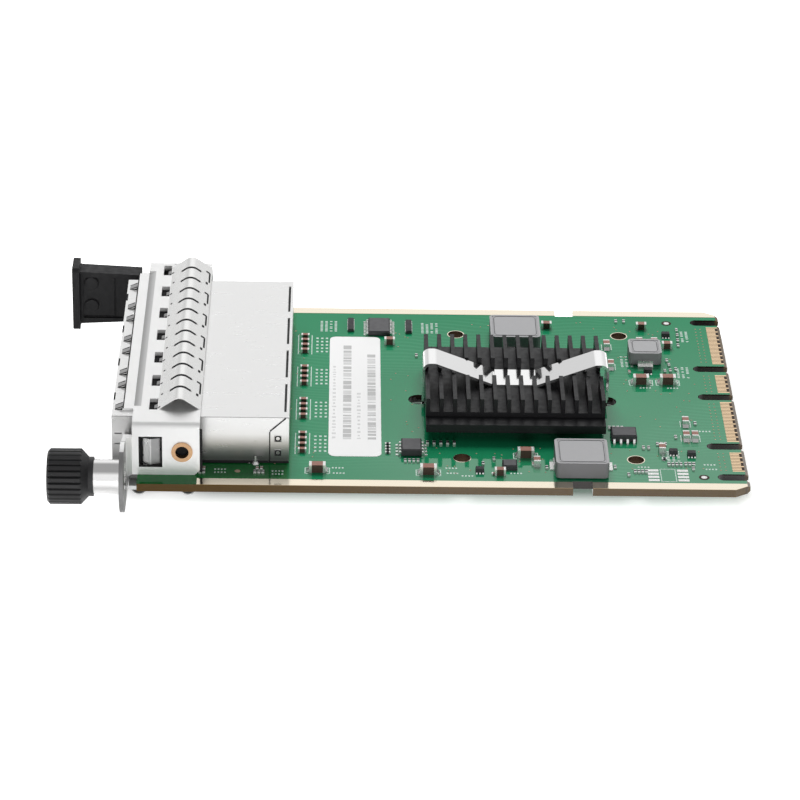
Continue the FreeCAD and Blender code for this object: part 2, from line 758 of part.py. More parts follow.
def build_jack_shield():
    body = new_body("jack_shield", y="jack_shift")
    step = from_port("jack_step_from_port")
    back = from_port("jack_back_from_port")
    side = new_sketch(body, "shield_side", "XZ_Plane")
    add_polygon(side, [(SHIELD_FRONT, "0 - jack_sunk"), (step, "0 - jack_sunk"), (step, "0"),
                       (back, "0"), (back, "jack_height"), (SHIELD_FRONT, "jack_height")])
    pad(body, side, "jack_width", both=True)
    inside = new_sketch(body, "shield_inside", "XZ_Plane")
    add_rectangle(inside, HOUSING_FRONT, HOUSING_BACK, "0 - 2 * jack_sunk", HOUSING_TOP)
    pocket(body, inside, "jack_width - 2 * shield_thickness", both=True)
    mouth = new_sketch(body, "shield_mouth", "YZ_Plane", SHIELD_FRONT)
    add_port_outline(mouth, "port_reveal")
    add_light_outlines(mouth)
    mouths = pocket(body, mouth, "shield_thickness", reverse=True)
    row(body, [mouths], mouth, "H_Axis", "port_count", "port_pitch")
    windows = new_sketch(body, "tongue_windows", "XY_Plane", "jack_height")
    start = f"{SHIELD_FRONT} + tongue_set_back"
    end = f"{start} + tongue_length"
    for hand in ("-", "+"):
        middle = f"{FIRST_PORT} {hand} tongue_spread"
        add_rectangle(windows, start, end, f"{middle} - tongue_width / 2", f"{middle} + tongue_width / 2")
    rear = new_sketch(body, "rear_slot", "XY_Plane", "jack_height")
    rear_end = f"{back} - rear_slot_set_back"
    add_rectangle(rear, f"{rear_end} - rear_slot_width", rear_end, f"{FIRST_PORT} - rear_slot_length / 2",
                  f"{FIRST_PORT} + rear_slot_length / 2")
    for sketch in (windows, rear):
        cuts = pocket(body, sketch, "shield_thickness")
        row(body, [cuts], sketch, "V_Axis", "port_count", "port_pitch")
    tongue_half = "(tongue_width / 2 - tongue_slit)"
    top = "jack_height"
    for port in range(int(value("port_count"))):
        for hand in ("-", "+"):
            middle = f"{FIRST_PORT} + {port} * port_pitch {hand} tongue_spread"
            tongue = new_sketch(body, "tongue", "XZ_Plane", f"0 - ({middle} + {tongue_half})")
            add_polygon(tongue, [(start, f"{top} - shield_thickness"), (start, top), (end, f"{top} + tongue_rise"),
                                 (end, f"{top} + tongue_rise - shield_thickness")])
            pad(body, tongue, f"2 * {tongue_half}")
    side_slits = new_sketch(body, "side_tongue_slits", "XZ_Plane")
    for edge in ("-", "+"):
        middle = f"jack_height / 2 {edge} tongue_width / 2"
        add_rectangle(side_slits, start, end, f"{middle} - tongue_slit / 2", f"{middle} + tongue_slit / 2")
    pocket(body, side_slits, both=True)


def port_middles():
    """Y of each port's middle."""
    first = value(f"jack_shift + {FIRST_PORT}")
    return [first + index * value("port_pitch") for index in range(int(value("port_count")))]


def build_jack_wires():
    """Sprung contact wires: each leaves the cavity's back wall and slants down towards the mouth."""
    back = value(f"{HOUSING_FRONT} + port_depth")
    ceiling = value(PORT_CEILING)
    thick = value("wire_thickness")
    run = value("wire_run")
    path = [(back, ceiling - thick / 2), (back - run / 4, ceiling - thick / 2),
            (back - run, ceiling - value("wire_drop"))]
    wires = []
    count = int(value("wire_count"))
    for middle in port_middles():
        for index in range(count):
            place = middle + (index - (count - 1) / 2) * value("wire_pitch")
            wires.append(bent_sheet(path, thick, 0, plane_xz(place + thick / 2), FreeCAD.Vector(0, -thick, 0)))
    add_shape("jack_wires", Part.makeCompound(wires))


def build_jack_insides():
    lights, transformers, pins = [], [], []
    front = value(SHIELD_FRONT)
    half_light = value("light_width") / 2
    level = value("light_level")
    well = value(from_port("transformer_from_port"))
    well_end = well + value("transformer_along")
    half_well = value("transformer_across") / 2
    top = value(HOUSING_TOP)
    half_pin = value("pin_size") / 2
    pin_top = 0.0
    pin_end = pin_top - value("pin_length")
    for middle in port_middles():
        for hand in (-1, 1):
            place = middle + hand * value("light_spread")
            lights.append(block(front, front + value("shield_thickness + light_depth"), place - half_light,
                                place + half_light, level, level + value("light_height")))
        transformers.append(block(well, well_end, middle - half_well, middle + half_well,
                                  top - value("transformer_height"), top))
        for rank in range(int(value("pin_rows"))):
            for pin in range(int(value("pins_in_row"))):
                along = value(f"{PIN_X} + {rank} * pin_spacing")
                across = middle + value(f"({pin} - (pins_in_row - 1) / 2) * pin_spacing")
                pins.append(block(along - half_pin, along + half_pin, across - half_pin, across + half_pin,
                                  pin_end, pin_top))
    add_shape("port_lights", Part.makeCompound(lights))
    add_shape("jack_transformers", Part.makeCompound(transformers))
    add_shape("jack_pins", Part.makeCompound(pins))


# Folded bracket

BRACKET_FRONT = "(0 - board_length - bracket_overhang)"
BRACKET_REAR = from_port("bracket_rear_from_port")
FACE_X = "(0 - board_length - face_overhang)"
BOTTOM_TOP = "(0 - jack_sunk - bottom_plate_gap)"
BOTTOM_UNDER = "(0 - jack_sunk - bottom_plate_gap - bracket_sheet)"
NEAR_FACE = "(0 - bracket_near)"


def build_bracket():
    """One folded sheet: channel over the jack, face wings, ear, bottom plate, and raised lip."""
    body = new_body("bracket")
    inner_top = "bracket_top - bracket_sheet"
    channel = new_sketch(body, "channel", "YZ_Plane", BRACKET_FRONT)
    add_polygon(channel, [
        (NEAR_FACE, "0"), (f"{NEAR_FACE} + bracket_sheet", "0"), (f"{NEAR_FACE} + bracket_sheet", inner_top),
        ("bracket_far - bracket_sheet", inner_top), ("bracket_far - bracket_sheet", "0"), ("bracket_far", "0"),
        ("bracket_far", "bracket_top"), (NEAR_FACE, "bracket_top"),
    ])
    folded = pad(body, channel, "bracket_rear_from_port + bracket_overhang")

    def is_outer_bend(edge):
        middle = edge.CenterOfMass
        return runs_along(edge, 0) and near(middle.z, value("bracket_top"))

    def is_inner_bend(edge):
        middle = edge.CenterOfMass
        return runs_along(edge, 0) and near(middle.z, value(inner_top))

    outer = round_edges(body, folded, "bracket_bend", is_outer_bend)
    round_edges(body, outer, "bracket_bend - bracket_sheet", is_inner_bend)

    wings = new_sketch(body, "face_wings", "YZ_Plane", FACE_X)
    ear_low = "screw_level - ear_radius"
    ear_high = "screw_level + ear_radius"
    open_near = f"{JACK_NEAR} - face_margin"
    open_far = f"{JACK_FAR} + face_margin"
    side_inside = f"{NEAR_FACE} + bracket_sheet"
    add_polygon(wings, [
        (open_near, BOTTOM_UNDER), (open_near, "wing_inner_top"), (side_inside, "wing_inner_top"),
        (side_inside, "ear_top"), (NEAR_FACE, "ear_top"), ("0 - screw_across", ear_high),
        ("0 - screw_across", ear_low), (side_inside, ear_low), (f"{open_near} - wing_foot", ear_low),
        (f"{open_near} - wing_foot", BOTTOM_UNDER),
    ])
    add_rectangle(wings, open_far, "bracket_far", BOTTOM_UNDER, "wing_inner_top")
    pad(body, wings, "bracket_sheet")
    ear = new_sketch(body, "ear_round", "YZ_Plane", FACE_X)
    add_circle(ear, "0 - screw_across", "screw_level", "ear_radius")
    pad(body, ear, "bracket_sheet")
    for face in (NEAR_FACE, "bracket_far - bracket_sheet"):
        side = new_sketch(body, "bridge", "YZ_Plane", FACE_X)
        add_rectangle(side, face, f"{face} + bracket_sheet", "0", "ear_top")
        pad(body, side, "face_overhang - bracket_overhang")
    bottom = new_sketch(body, "bottom_plate", "XY_Plane", BOTTOM_UNDER)
    add_rectangle(bottom, FACE_X, BRACKET_REAR, f"{open_near} - wing_foot", "bracket_far")
    pad(body, bottom, "bracket_sheet")
    bend = new_sketch(body, "ear_bend", "XY_Plane")
    ear_back = f"{FACE_X} + bracket_sheet"
    add_polygon(bend, [(ear_back, NEAR_FACE), (ear_back, f"{NEAR_FACE} - ear_bend"), (f"{ear_back} + ear_bend", NEAR_FACE)])
    pad(body, bend, "ear_top")
    gap = new_sketch(body, "lip_opening", "XY_Plane", "bracket_top")
    lip_start = f"{BRACKET_FRONT} + lip_slope"
    add_rectangle(gap, BRACKET_FRONT, lip_start, "0 - lip_near", "lip_far")
    pocket(body, gap, "bracket_sheet")
    lip = new_sketch(body, "stepped_lip", "XZ_Plane", "0 - lip_far")
    lip_under = "jack_height + lip_gap"
    add_polygon(lip, [
        (f"{BRACKET_FRONT} - lip_reach", lip_under), (BRACKET_FRONT, lip_under), (lip_start, inner_top),
        (lip_start, "bracket_top"), (BRACKET_FRONT, f"{lip_under} + lip_sheet"),
        (f"{BRACKET_FRONT} - lip_reach", f"{lip_under} + lip_sheet"),
    ])
    pad(body, lip, "lip_near + lip_far")

    windows = new_sketch(body, "top_window", "XY_Plane", "bracket_top")
    start = from_port("window_from_port")
    add_rectangle(windows, start, f"{start} + window_along", "window_first - window_across / 2",
                  "window_first + window_across / 2")
    cut = pocket(body, windows, "bracket_sheet")
    row(body, [cut], windows, "V_Axis", "window_count", "window_pitch")
    sides = new_sketch(body, "side_openings", "XZ_Plane")
    left = from_port("side_window_from_port")
    add_rectangle(sides, left, f"{left} + side_window_along", "side_window_low", "side_window_low + side_window_height")
    add_circle(sides, from_port("eyelet_from_port"), "eyelet_level", "eyelet_barrel_radius")
    add_polygon(sides, [(BRACKET_REAR, "0"), (BRACKET_REAR, "plate_corner_cut"), (f"{BRACKET_REAR} - plate_corner_cut", "0")])
    pocket(body, sides, both=True)
    hole = new_sketch(body, "ear_hole", "YZ_Plane", FACE_X)
    add_circle(hole, "0 - screw_across", "screw_level", "ferrule_shank_radius")
    pocket(body, hole, "bracket_sheet", reverse=True)


# Spring strips on the bracket, and the side springs behind its windows

def build_tent(label, start, level, facing, kind):
    """A tent-shaped strip of thin spring sheet with a round crown.

    facing is 1 for a strip that points up and -1 for one that points down. kind is the first word of the
    sizes that it follows.
    """
    body = new_body(label, from_port(start), "0", level)
    along = f"{kind}_along"
    rise = f"{kind}_rise"
    slope = f"sqrt(({along} / 2)^2 + {rise}^2)"
    sign = "" if facing > 0 else "0 - "
    inner_rise = f"{rise} - strip_sheet * {slope} / ({along} / 2)"
    inner_foot = f"strip_sheet * {slope} / {rise}"
    tent = new_sketch(body, label + "_tent", "XZ_Plane", f"0 - {kind}_far")
    add_polygon(tent, [("0", "0"), (f"{along} / 2", f"{sign}{rise}"), (along, "0"),
                       (f"{along} - {inner_foot}", "0"), (f"{along} / 2", f"{sign}({inner_rise})"), (inner_foot, "0")])
    folded = pad(body, tent, f"{kind}_near + {kind}_far")

    def is_outer_crown(edge):
        return runs_along(edge, 1) and near(abs(edge.CenterOfMass.z), value(rise))

    def is_inner_crown(edge):
        return runs_along(edge, 1) and near(abs(edge.CenterOfMass.z), value(inner_rise))

    crown = round_edges(body, folded, f"{kind}_crown", is_outer_crown)
    round_edges(body, crown, f"{kind}_crown - strip_sheet", is_inner_crown)
    return body


def build_spring_strips():
    """Upper strip, slit into fingers across its crown, and two narrow strips under the bottom plate."""
    body = build_tent("spring_strip_upper", "strip_from_port", "bracket_top", 1, "strip")
    slit = new_sketch(body, "strip_slit", "XY_Plane")
    first = "(strip_near + strip_far) / (slit_count + 1) - strip_near"
    add_rectangle(slit, "strip_along / 2 - slit_along / 2", "strip_along / 2 + slit_along / 2",
                  f"{first} - slit_width / 2", f"{first} + slit_width / 2")
    cut = pocket(body, slit, both=True)
    row(body, [cut], slit, "V_Axis", "slit_count", "(strip_near + strip_far) / (slit_count + 1)")
    build_tent("spring_strip_lower_front", "foot_front_from_port", BOTTOM_UNDER, -1, "foot")
    build_tent("spring_strip_lower_rear", "foot_rear_from_port", BOTTOM_UNDER, -1, "foot")


def build_side_springs():
    """Bent leaves on the inner faces of the bracket's side plates; each crest stands in its window."""
    left = value(from_port("side_window_from_port"))
    right = left + value("side_window_along")
    sheet_gap = value("leaf_sheet") / 2
    low = value("side_window_low + leaf_gap")
    height = value("leaf_height")
    for label, hand, inner in (("side_spring_near", -1, value(f"{NEAR_FACE} + bracket_sheet")),
                               ("side_spring_far", 1, value("bracket_far - bracket_sheet"))):
        flat = inner - hand * sheet_gap
        crest = inner + hand * (value("leaf_crest") - value("leaf_sheet"))
        path = [(right + value("leaf_root"), flat), (right - value("leaf_sheet"), flat),
                ((left + right) / 2 - sheet_gap, crest), (left + value("leaf_sheet") * 4, flat)]
        leaf = bent_sheet(path, value("leaf_sheet"), value("leaf_sheet"), plane_xy(low), FreeCAD.Vector(0, 0, height))
        add_shape(label, leaf)


def build_eyelets():
    """Brass eyelets pressed into the side plates, flanges outwards."""
    for label, y, spin in (("eyelet_near", NEAR_FACE, 90), ("eyelet_far", "bracket_far", -90)):
        body = new_body(label, from_port("eyelet_from_port"), y, "eyelet_level")
        body.Placement.Rotation = FreeCAD.Rotation(FreeCAD.Vector(0, 0, 1), spin)
        revolve(body, label + "_section", [
            ("0 - eyelet_flange", "eyelet_bore_radius"), ("bracket_sheet", "eyelet_bore_radius"),
            ("bracket_sheet", "eyelet_barrel_radius"), ("0", "eyelet_barrel_radius"),
            ("0", "eyelet_flange_radius"), ("0 - eyelet_flange", "eyelet_flange_radius"),
        ])


# Captive thumbscrew. Every profile runs along X from the outer face of the ear.

SCREW_PLACE = (FACE_X, "0 - screw_across", "screw_level")
CHAMBER_END = "(ferrule_lip - ferrule_length)"
KNOB_END = "(knob_overlap - ferrule_length)"
KNOB_TIP = "(knob_overlap - ferrule_length - knob_length)"
RING_START = "(ferrule_lip - ferrule_length + stop_gap)"


def build_thumbscrew():
    body = new_body("screw_ferrule", *SCREW_PLACE)
    bore = "screw_radius + screw_clearance"
    revolve(body, "ferrule_section", [
        ("0 - ferrule_length", bore), ("0 - ferrule_length", "ferrule_radius"), ("0", "ferrule_radius"),
        ("0", "ferrule_shank_radius"), ("bracket_sheet", "ferrule_shank_radius"), ("bracket_sheet", bore),
        ("bracket_sheet - ferrule_lip", bore), ("bracket_sheet - ferrule_lip", "ferrule_chamber_radius"),
        (CHAMBER_END, "ferrule_chamber_radius"), (CHAMBER_END, bore),
    ])
    body = new_body("captive_screw", *SCREW_PLACE)
    tip = "bracket_sheet - screw_tip_inset"
    revolve(body, "screw_section", [
        (f"{KNOB_TIP} + knob_wall", "0"), (f"{KNOB_TIP} + knob_wall", "screw_radius"),
        (f"{tip} - screw_radius / 3", "screw_radius"), (tip, "screw_radius * 2 / 3"), (tip, "0"),
    ])
    body = new_body("screw_retaining_ring", *SCREW_PLACE)
    ring_end = f"{RING_START} + ring_thickness"
    revolve(body, "ring_section", [
        (RING_START, "screw_radius"), (RING_START, "ring_radius"), (ring_end, "ring_radius"), (ring_end, "screw_radius"),
    ])
    body = new_body("thumb_knob", *SCREW_PLACE)
    grip_end = f"{KNOB_TIP} + knob_grip_length"
    knob_bore = "ferrule_radius + knob_bore_gap"
    floor = "0 - ferrule_length - screw_travel - knob_bore_room"
    revolve(body, "knob_section", [
        (KNOB_TIP, "0"), (KNOB_TIP, "knob_radius - knob_edge"), (f"{KNOB_TIP} + knob_edge", "knob_radius"),
        (grip_end, "knob_radius"), (f"{grip_end} + knob_taper", "knob_collar_radius"),
        (KNOB_END, "knob_collar_radius"), (KNOB_END, knob_bore), (floor, knob_bore), (floor, "screw_radius"),
        (f"{KNOB_TIP} + knob_wall", "screw_radius"), (f"{KNOB_TIP} + knob_wall", "0"),
    ])
    flute = new_sketch(body, "knob_flute", "YZ_Plane", KNOB_TIP)
    wide = "knob_flute_depth * 0.8"
    add_polygon(flute, [("0 - " + wide, "knob_radius + knob_flute_depth / 10"), ("0", "knob_radius - knob_flute_depth"),
                        (wide, "knob_radius + knob_flute_depth / 10")])
    cut = pocket(body, flute, "knob_grip_length + knob_taper", reverse=True)
    ring = body.newObject("PartDesign::PolarPattern", "knob_flutes")
    ring.Originals = [cut]
    ring.Axis = (flute, ["N_Axis"])
    ring.Angle = 360
    bind(ring, "Occurrences", "knob_flutes")
    body.Tip = ring
    doc.recompute()
    build_screw_spring()


def build_screw_spring():
    """Return spring round the screw, from the ring to the ferrule's inner lip: faceted wire on a helix."""
    half_wire = value("spring_wire") / 2
    start = value(f"{FACE_X} + {RING_START} + ring_thickness") + half_wire
    length = value(f"{FACE_X} + bracket_sheet - ferrule_lip") - half_wire - start
    middle_radius = (value("screw_radius + screw_clearance") + value("ferrule_chamber_radius")) / 2
    centre = FreeCAD.Vector(0, value("0 - screw_across"), value("screw_level"))
    steps = int(value("spring_turns * spring_steps_a_turn"))
    sides = int(value("spring_wire_sides"))
    corners = [2 * math.pi * corner / sides for corner in range(sides)]
    sections = []
    for step in range(steps + 1):
        turn = 2 * math.pi * step / value("spring_steps_a_turn")
        along = start + length * step / steps
        outwards = FreeCAD.Vector(0, math.cos(turn), math.sin(turn))
        section = []
        for corner in corners:
            reach = outwards * (middle_radius + half_wire * math.cos(corner))
            section.append(centre + reach + FreeCAD.Vector(along + half_wire * math.sin(corner), 0, 0))
        sections.append(section)
    loops = [sections[0], sections[-1]]
    for before, after in zip(sections, sections[1:]):
        for index in range(len(corners)):
            follower = (index + 1) % len(corners)
            loops.append([before[index], after[index], after[follower]])
            loops.append([before[index], after[follower], before[follower]])
    faces = [Part.Face(Part.makePolygon(loop + loop[:1])) for loop in loops]
    shell = Part.makeShell(faces)
    shell.sewShape()
    coil = Part.makeSolid(shell)
    if coil.Volume < 0:
        coil.reverse()
    add_shape("screw_spring", coil)


# Pull tab and its rivets

RIVET_LEVEL = "(tongue_low + tongue_height / 2)"


def build_tab_tongue():
    """Flat tongue that stands out from the bracket's far wing and carries the pull tab."""
    body = new_body("tab_tongue")
    outline = new_sketch(body, "tongue_outline", "XZ_Plane", "0 - bracket_far")
    add_rectangle(outline, f"{FACE_X} - tongue_reach", FACE_X, "tongue_low", "tongue_low + tongue_height")
    for hand in ("-", "+"):
        add_circle(outline, f"{FACE_X} - rivet_set_back", f"{RIVET_LEVEL} {hand} rivet_spacing / 2", "rivet_radius")
    pad(body, outline, "bracket_sheet")


def build_pull_tab():
    body = new_body("pull_tab", y="tab_across")
    root = FACE_X
    outer = f"{FACE_X} - tab_length"
    end = f"{FACE_X} - tab_length - tab_plate_thickness"
    arm = new_sketch(body, "tab_arm", "XZ_Plane")
    add_polygon(arm, [(outer, "tab_level - tab_outer_height / 2"), (root, "tab_level - tab_root_height / 2"),
                      (root, "tab_level + tab_root_height / 2"), (outer, "tab_level + tab_outer_height / 2")])
    pad(body, arm, "tab_thickness", both=True)
    plate = new_sketch(body, "tab_plate", "XZ_Plane")
    add_rectangle(plate, end, outer, "tab_level - tab_plate_height / 2", "tab_level + tab_plate_height / 2")
    joined = pad(body, plate, "tab_plate_across", both=True)

    def is_plate_corner(edge):
        half = value("tab_plate_across / 2")
        return runs_along(edge, 0) and near(abs(edge.CenterOfMass.y), half)

    rounded = round_edges(body, joined, "tab_corner", is_plate_corner)

    def is_root_corner(edge):
        return runs_along(edge, 2) and near(edge.CenterOfMass.x, value(outer)) and near(
            abs(edge.CenterOfMass.y), value("tab_thickness / 2"))

    round_edges(body, rounded, "tab_corner / 2", is_root_corner)
    panel = new_sketch(body, "tab_panel", "XZ_Plane", "tab_thickness / 2")
    low = "tab_level - tab_root_height / 2 + tab_panel_border"
    high = "tab_level + tab_root_height / 2 - tab_panel_border"
    add_rectangle(panel, f"{outer} + tab_panel_border", f"{root} - tab_panel_border", low, high)
    pocket(body, panel, "tab_panel_depth")
    slot = new_sketch(body, "tongue_slot", "XZ_Plane", "tab_across - bracket_far - tab_slot_gap")
    add_rectangle(slot, f"{root} - tongue_reach - tab_slot_gap", f"{root} + tab_slot_gap", "tongue_low - tab_slot_gap",
                  "tongue_low + tongue_height + tab_slot_gap")
    pocket(body, slot, "bracket_sheet + 2 * tab_slot_gap", reverse=True)
    holes = new_sketch(body, "rivet_holes", "XZ_Plane")
    for hand in ("-", "+"):
        add_circle(holes, f"{root} - rivet_set_back", f"{RIVET_LEVEL} {hand} rivet_spacing / 2", "rivet_radius")
    pocket(body, holes, both=True)


def build_rivets():
    """Two rivets through the tab and its tongue, heads in the tab's panel."""
    rivets = []
    away = FreeCAD.Vector(0, -1, 0)
    start = value("tab_across + tab_thickness / 2")
    face = value("tab_across - tab_thickness / 2 + tab_panel_depth")
    for hand in (-1, 1):
        x = value(f"{FACE_X} - rivet_set_back")
        z = value(RIVET_LEVEL) + hand * value("rivet_spacing") / 2
        shank = Part.makeCylinder(value("rivet_radius"), start - face, FreeCAD.Vector(x, start, z), away)
        head = Part.makeCylinder(value("rivet_head_radius"), value("tab_panel_depth"), FreeCAD.Vector(x, face, z), away)
        rivets.append(shank.fuse(head).removeSplitter())
    add_shape("tab_rivets", Part.makeCompound(rivets))


# Heat sink, the chip and pad under it, and its clip

SINK_X = from_port("sink_from_port")
CLIP_LEG = "(sink_width / 2 + clip_leg_gap + clip_sheet)"
FIN_FLOOR = "(sink_level + sink_base + sink_step)"


def build_heat_sink():
    body = new_body("heat_sink", SINK_X, "sink_shift", "sink_level")
    half = "sink_width / 2"
    front = "0 - fin_length / 2"
    base = new_sketch(body, "sink_base_outline", "XY_Plane")
    add_rectangle(base, f"0 - {half}", half, f"{front} - sink_ledge", "fin_length / 2")
    pad(body, base, "sink_base")
    step = new_sketch(body, "sink_step_outline", "XY_Plane", "sink_base")
    add_rectangle(step, f"0 - {half}", half, front, "fin_length / 2")
    pad(body, step, "sink_step")
    fin = new_sketch(body, "fin_outline", "XY_Plane", "sink_base + sink_step")
    add_rectangle(fin, f"0 - {half}", f"fin_thickness - {half}", front, "fin_length / 2")
    first = pad(body, fin, "fin_height")
    row(body, [first], fin, "H_Axis", "fin_count", "(sink_width - fin_thickness) / (fin_count - 1)")
    channel = new_sketch(body, "clip_channel", "YZ_Plane")
    add_rectangle(channel, "0 - channel_width / 2", "channel_width / 2", "sink_base + sink_step",
                  "sink_base + sink_step + fin_height * 2")
    pocket(body, channel, both=True)


def build_chip_stack():
    for label, low, height, size in (("network_chip", "0", "chip_height", "chip_size"),
                                     ("thermal_pad", "chip_height", "sink_level - chip_height", "chip_size")):
        box = doc.addObject("Part::Box", label)
        bind(box, "Length", size)
        bind(box, "Width", size)
        bind(box, "Height", height)
        bind(box, "Placement.Base.x", f"{SINK_X} - {size} / 2")
        bind(box, "Placement.Base.y", f"sink_shift - {size} / 2")
        bind(box, "Placement.Base.z", low)
        keep(box, label)


def build_clip():
    """Bent strip pressed into the fins' channel, with narrow feet hooked under the board."""
    thick = value("clip_sheet")
    middle = value(f"{SINK_X} + clip_shift")
    flat = value("clip_flat") / 2
    rest = value(FIN_FLOOR) + thick / 2
    crest = value("clip_crest_height") - thick / 2
    leg = value(CLIP_LEG)
    shoulder = value("sink_width / 2 - clip_crest_inset")
    waist = value("sink_level")
    under = value(BOARD_UNDER) - thick / 2
    right = [(flat, rest), (shoulder, crest), (leg, crest), (leg, waist)]
    strip = [(middle - x, z) for x, z in reversed(right)] + [(middle + x, z) for x, z in right]
    half = value("clip_width") / 2
    shift = value("sink_shift")
    shapes = [bent_sheet(strip, thick, value("clip_bend"), plane_xz(shift + half), FreeCAD.Vector(0, -2 * half, 0))]
    half_foot = value("clip_foot_width") / 2
    for hand in (-1, 1):
        foot = [(middle + hand * leg, waist + thick), (middle + hand * leg, under),
                (middle + hand * (leg + value("clip_foot_reach")), under)]
        shapes.append(bent_sheet(foot, thick, thick, plane_xz(shift + half_foot), FreeCAD.Vector(0, -2 * half_foot, 0)))
    clip = shapes[0].multiFuse(shapes[1:]).removeSplitter()
    add_shape("heat_sink_clip", clip)


# Power inductors and their terminals

# Each inductor's size, its height, and the way its terminals stand on the board.
INDUCTORS = {
    "inductor_near": ("inductor_size", "inductor_height", "along"),
    "inductor_far": ("inductor_size", "inductor_height", "across"),
    "inductor_small": ("small_inductor_size", "small_inductor_height", "across"),
}


def build_inductors():
    terminals = []
    for label, (size, height, way) in INDUCTORS.items():
        x = from_port(f"{label}_along")
        y = f"{label}_across"
        body = new_body(label, x, y, "terminal_thickness")
        half = f"{size} / 2"
        outline = new_sketch(body, label + "_outline", "XY_Plane")
        add_rectangle(outline, f"0 - {half}", half, f"0 - {half}", half)
        core = pad(body, outline, f"{height} - terminal_thickness")
        round_edges(body, core, "inductor_corner", lambda edge: runs_along(edge, 2))
        rim = new_sketch(body, label + "_rim", "XY_Plane", f"{height} - terminal_thickness")
        for inset in ("rim_inset", "rim_inset + rim_width"):
            reach = f"({half} - {inset})"
            add_rectangle(rim, f"0 - {reach}", reach, f"0 - {reach}", reach)
        pocket(body, rim, "rim_depth")
        terminals.extend(inductor_terminals(value(x), value(y), value(size) / 2, way))
    add_shape("inductor_terminals", Part.makeCompound(terminals))


def inductor_terminals(x, y, half, way):
    """Two metal straps: each lies under the core, reaches out past it, and turns up its end face."""
    thick = value("terminal_thickness")
    width = value("terminal_width")
    straps = []
    for hand in (-1, 1):
        outer = y + hand * (half + thick)
        inner = y + hand * half / 2
        face = y + hand * half
        low, high = sorted((outer + hand * value("terminal_reach"), inner))
        foot = block(x - width / 2, x + width / 2, low, high, 0, thick)
        low, high = sorted((outer, face))
        upright = block(x - width / 2, x + width / 2, low, high, 0, value("terminal_height"))
        strap = foot.fuse(upright).removeSplitter()
        if way == "along":
            strap.rotate(FreeCAD.Vector(x, y, 0), FreeCAD.Vector(0, 0, 1), 90)
        straps.append(strap)
    return straps


# Chips with leads

def build_chip_body(label, long_side, short_side, height, stand_off, leads_on_x):
    """Moulded chip body with drafted upper sides; its leads leave along X or along Y."""
    body = new_body(label, from_port(f"{label}_along"), f"{label}_across", stand_off)
    wide, deep = (short_side, long_side) if leads_on_x else (long_side, short_side)
    outline = new_sketch(body, label + "_outline", "XY_Plane")
    add_rectangle(outline, f"0 - {wide} / 2", f"{wide} / 2", f"0 - {deep} / 2", f"{deep} / 2")
    core = pad(body, outline, f"{height} - {stand_off}")

    def is_top_edge(edge):
        return near(edge.CenterOfMass.z, value(f"{height} - {stand_off}")) and not runs_along(edge, 2)

    round_edges(body, core, "body_draft", is_top_edge, kind="Chamfer")


def gull_leads(label, long_side_pitch, count, width, reach, short_side, height, leads_on_x):
    """Bent leads on two sides of a chip: out of its body, down, and flat along the board."""
    thick = value("lead_sheet")
    half = value(short_side) / 2
    level = value(height) / 2
    reach = value(reach)
    path = [(half, level), (half + reach * 0.3, level), (half + reach * 0.55, thick / 2), (half + reach, thick / 2)]
    middle = FreeCAD.Vector(value(from_port(f"{label}_along")), value(f"{label}_across"), 0)
    leads = []
    for hand in (0, 180):
        for index in range(int(value(count))):
            shift = (index - (value(count) - 1) / 2) * value(long_side_pitch)
            lead = bent_sheet(path, thick, 0, plane_xz(shift + value(width) / 2), FreeCAD.Vector(0, -value(width), 0))
            turn = hand if leads_on_x else hand + 90
            lead.rotate(FreeCAD.Vector(0, 0, 0), FreeCAD.Vector(0, 0, 1), turn)
            lead.translate(middle)
            leads.append(lead)
    return leads


def build_chips():
    leads = []
    for label, leads_on_x in (("flash_chip", True), ("monitor_chip", False)):
        build_chip_body(label, "soic_long", "soic_short", "soic_height", "soic_stand_off", leads_on_x)
        leads.extend(gull_leads(label, "soic_lead_pitch", "soic_leads_a_side", "soic_lead_width",
                                "soic_lead_reach", "soic_short", "soic_height", leads_on_x))
    build_chip_body("controller_chip", "controller_long", "controller_short", "controller_height", "lead_sheet", True)
    leads.extend(gull_leads("controller_chip", "controller_lead_pitch", "controller_leads_a_side",
                            "controller_lead_width", "controller_lead_reach", "controller_short",
                            "controller_height", True))
    add_shape("chip_leads", Part.makeCompound(leads))
    build_chip_body("regulator_chip", "regulator_size", "regulator_size", "regulator_height", "0", True)


# Ceramic capacitors: a body between two plated ends

def capacitor(x, y, kind, upright):
    """Solids of one capacitor: its body, then its two ends; an upright one runs across the board."""
    length = value(f"{kind}_length")
    width = value(f"{kind}_width")
    height = value(f"{kind}_height")
    end = value(f"{kind}_end")
    marks = (-length / 2, end - length / 2, length / 2 - end, length / 2)
    solids = []
    for left, right in zip(marks, marks[1:]):
        if upright:
            solids.append(block(x - width / 2, x + width / 2, y + left, y + right, 0, height))
        else:
            solids.append(block(x + left, x + right, y - width / 2, y + width / 2, 0, height))
    return solids[1], [solids[0], solids[2]]


def build_capacitors():
    places = []
    for place in PLACES:
        kind = place.split("_")[0]
        if kind in ("bulk", "middle", "upright"):
            size = "middle" if kind == "upright" else kind
            places.append((value(from_port(f"{place}_along")), value(f"{place}_across"), size, kind == "upright"))
    groups = int(value("port_count"))
    count = int(value("filter_in_group"))
    for group in range(groups):
        middle = value("filter_shift") + (group - (groups - 1) / 2) * value("filter_pitch")
        for index in range(count):
            across = middle + (index - (count - 1) / 2) * value("filter_spacing")
            places.append((value(from_port("filter_from_port")), across, "little", False))
    bodies, ends = [], []
    for place in places:
        body, plated = capacitor(*place)
        bodies.append(body)
        ends.extend(plated)
    add_shape("capacitor_bodies", Part.makeCompound(bodies))
    add_shape("capacitor_ends", Part.makeCompound(ends))


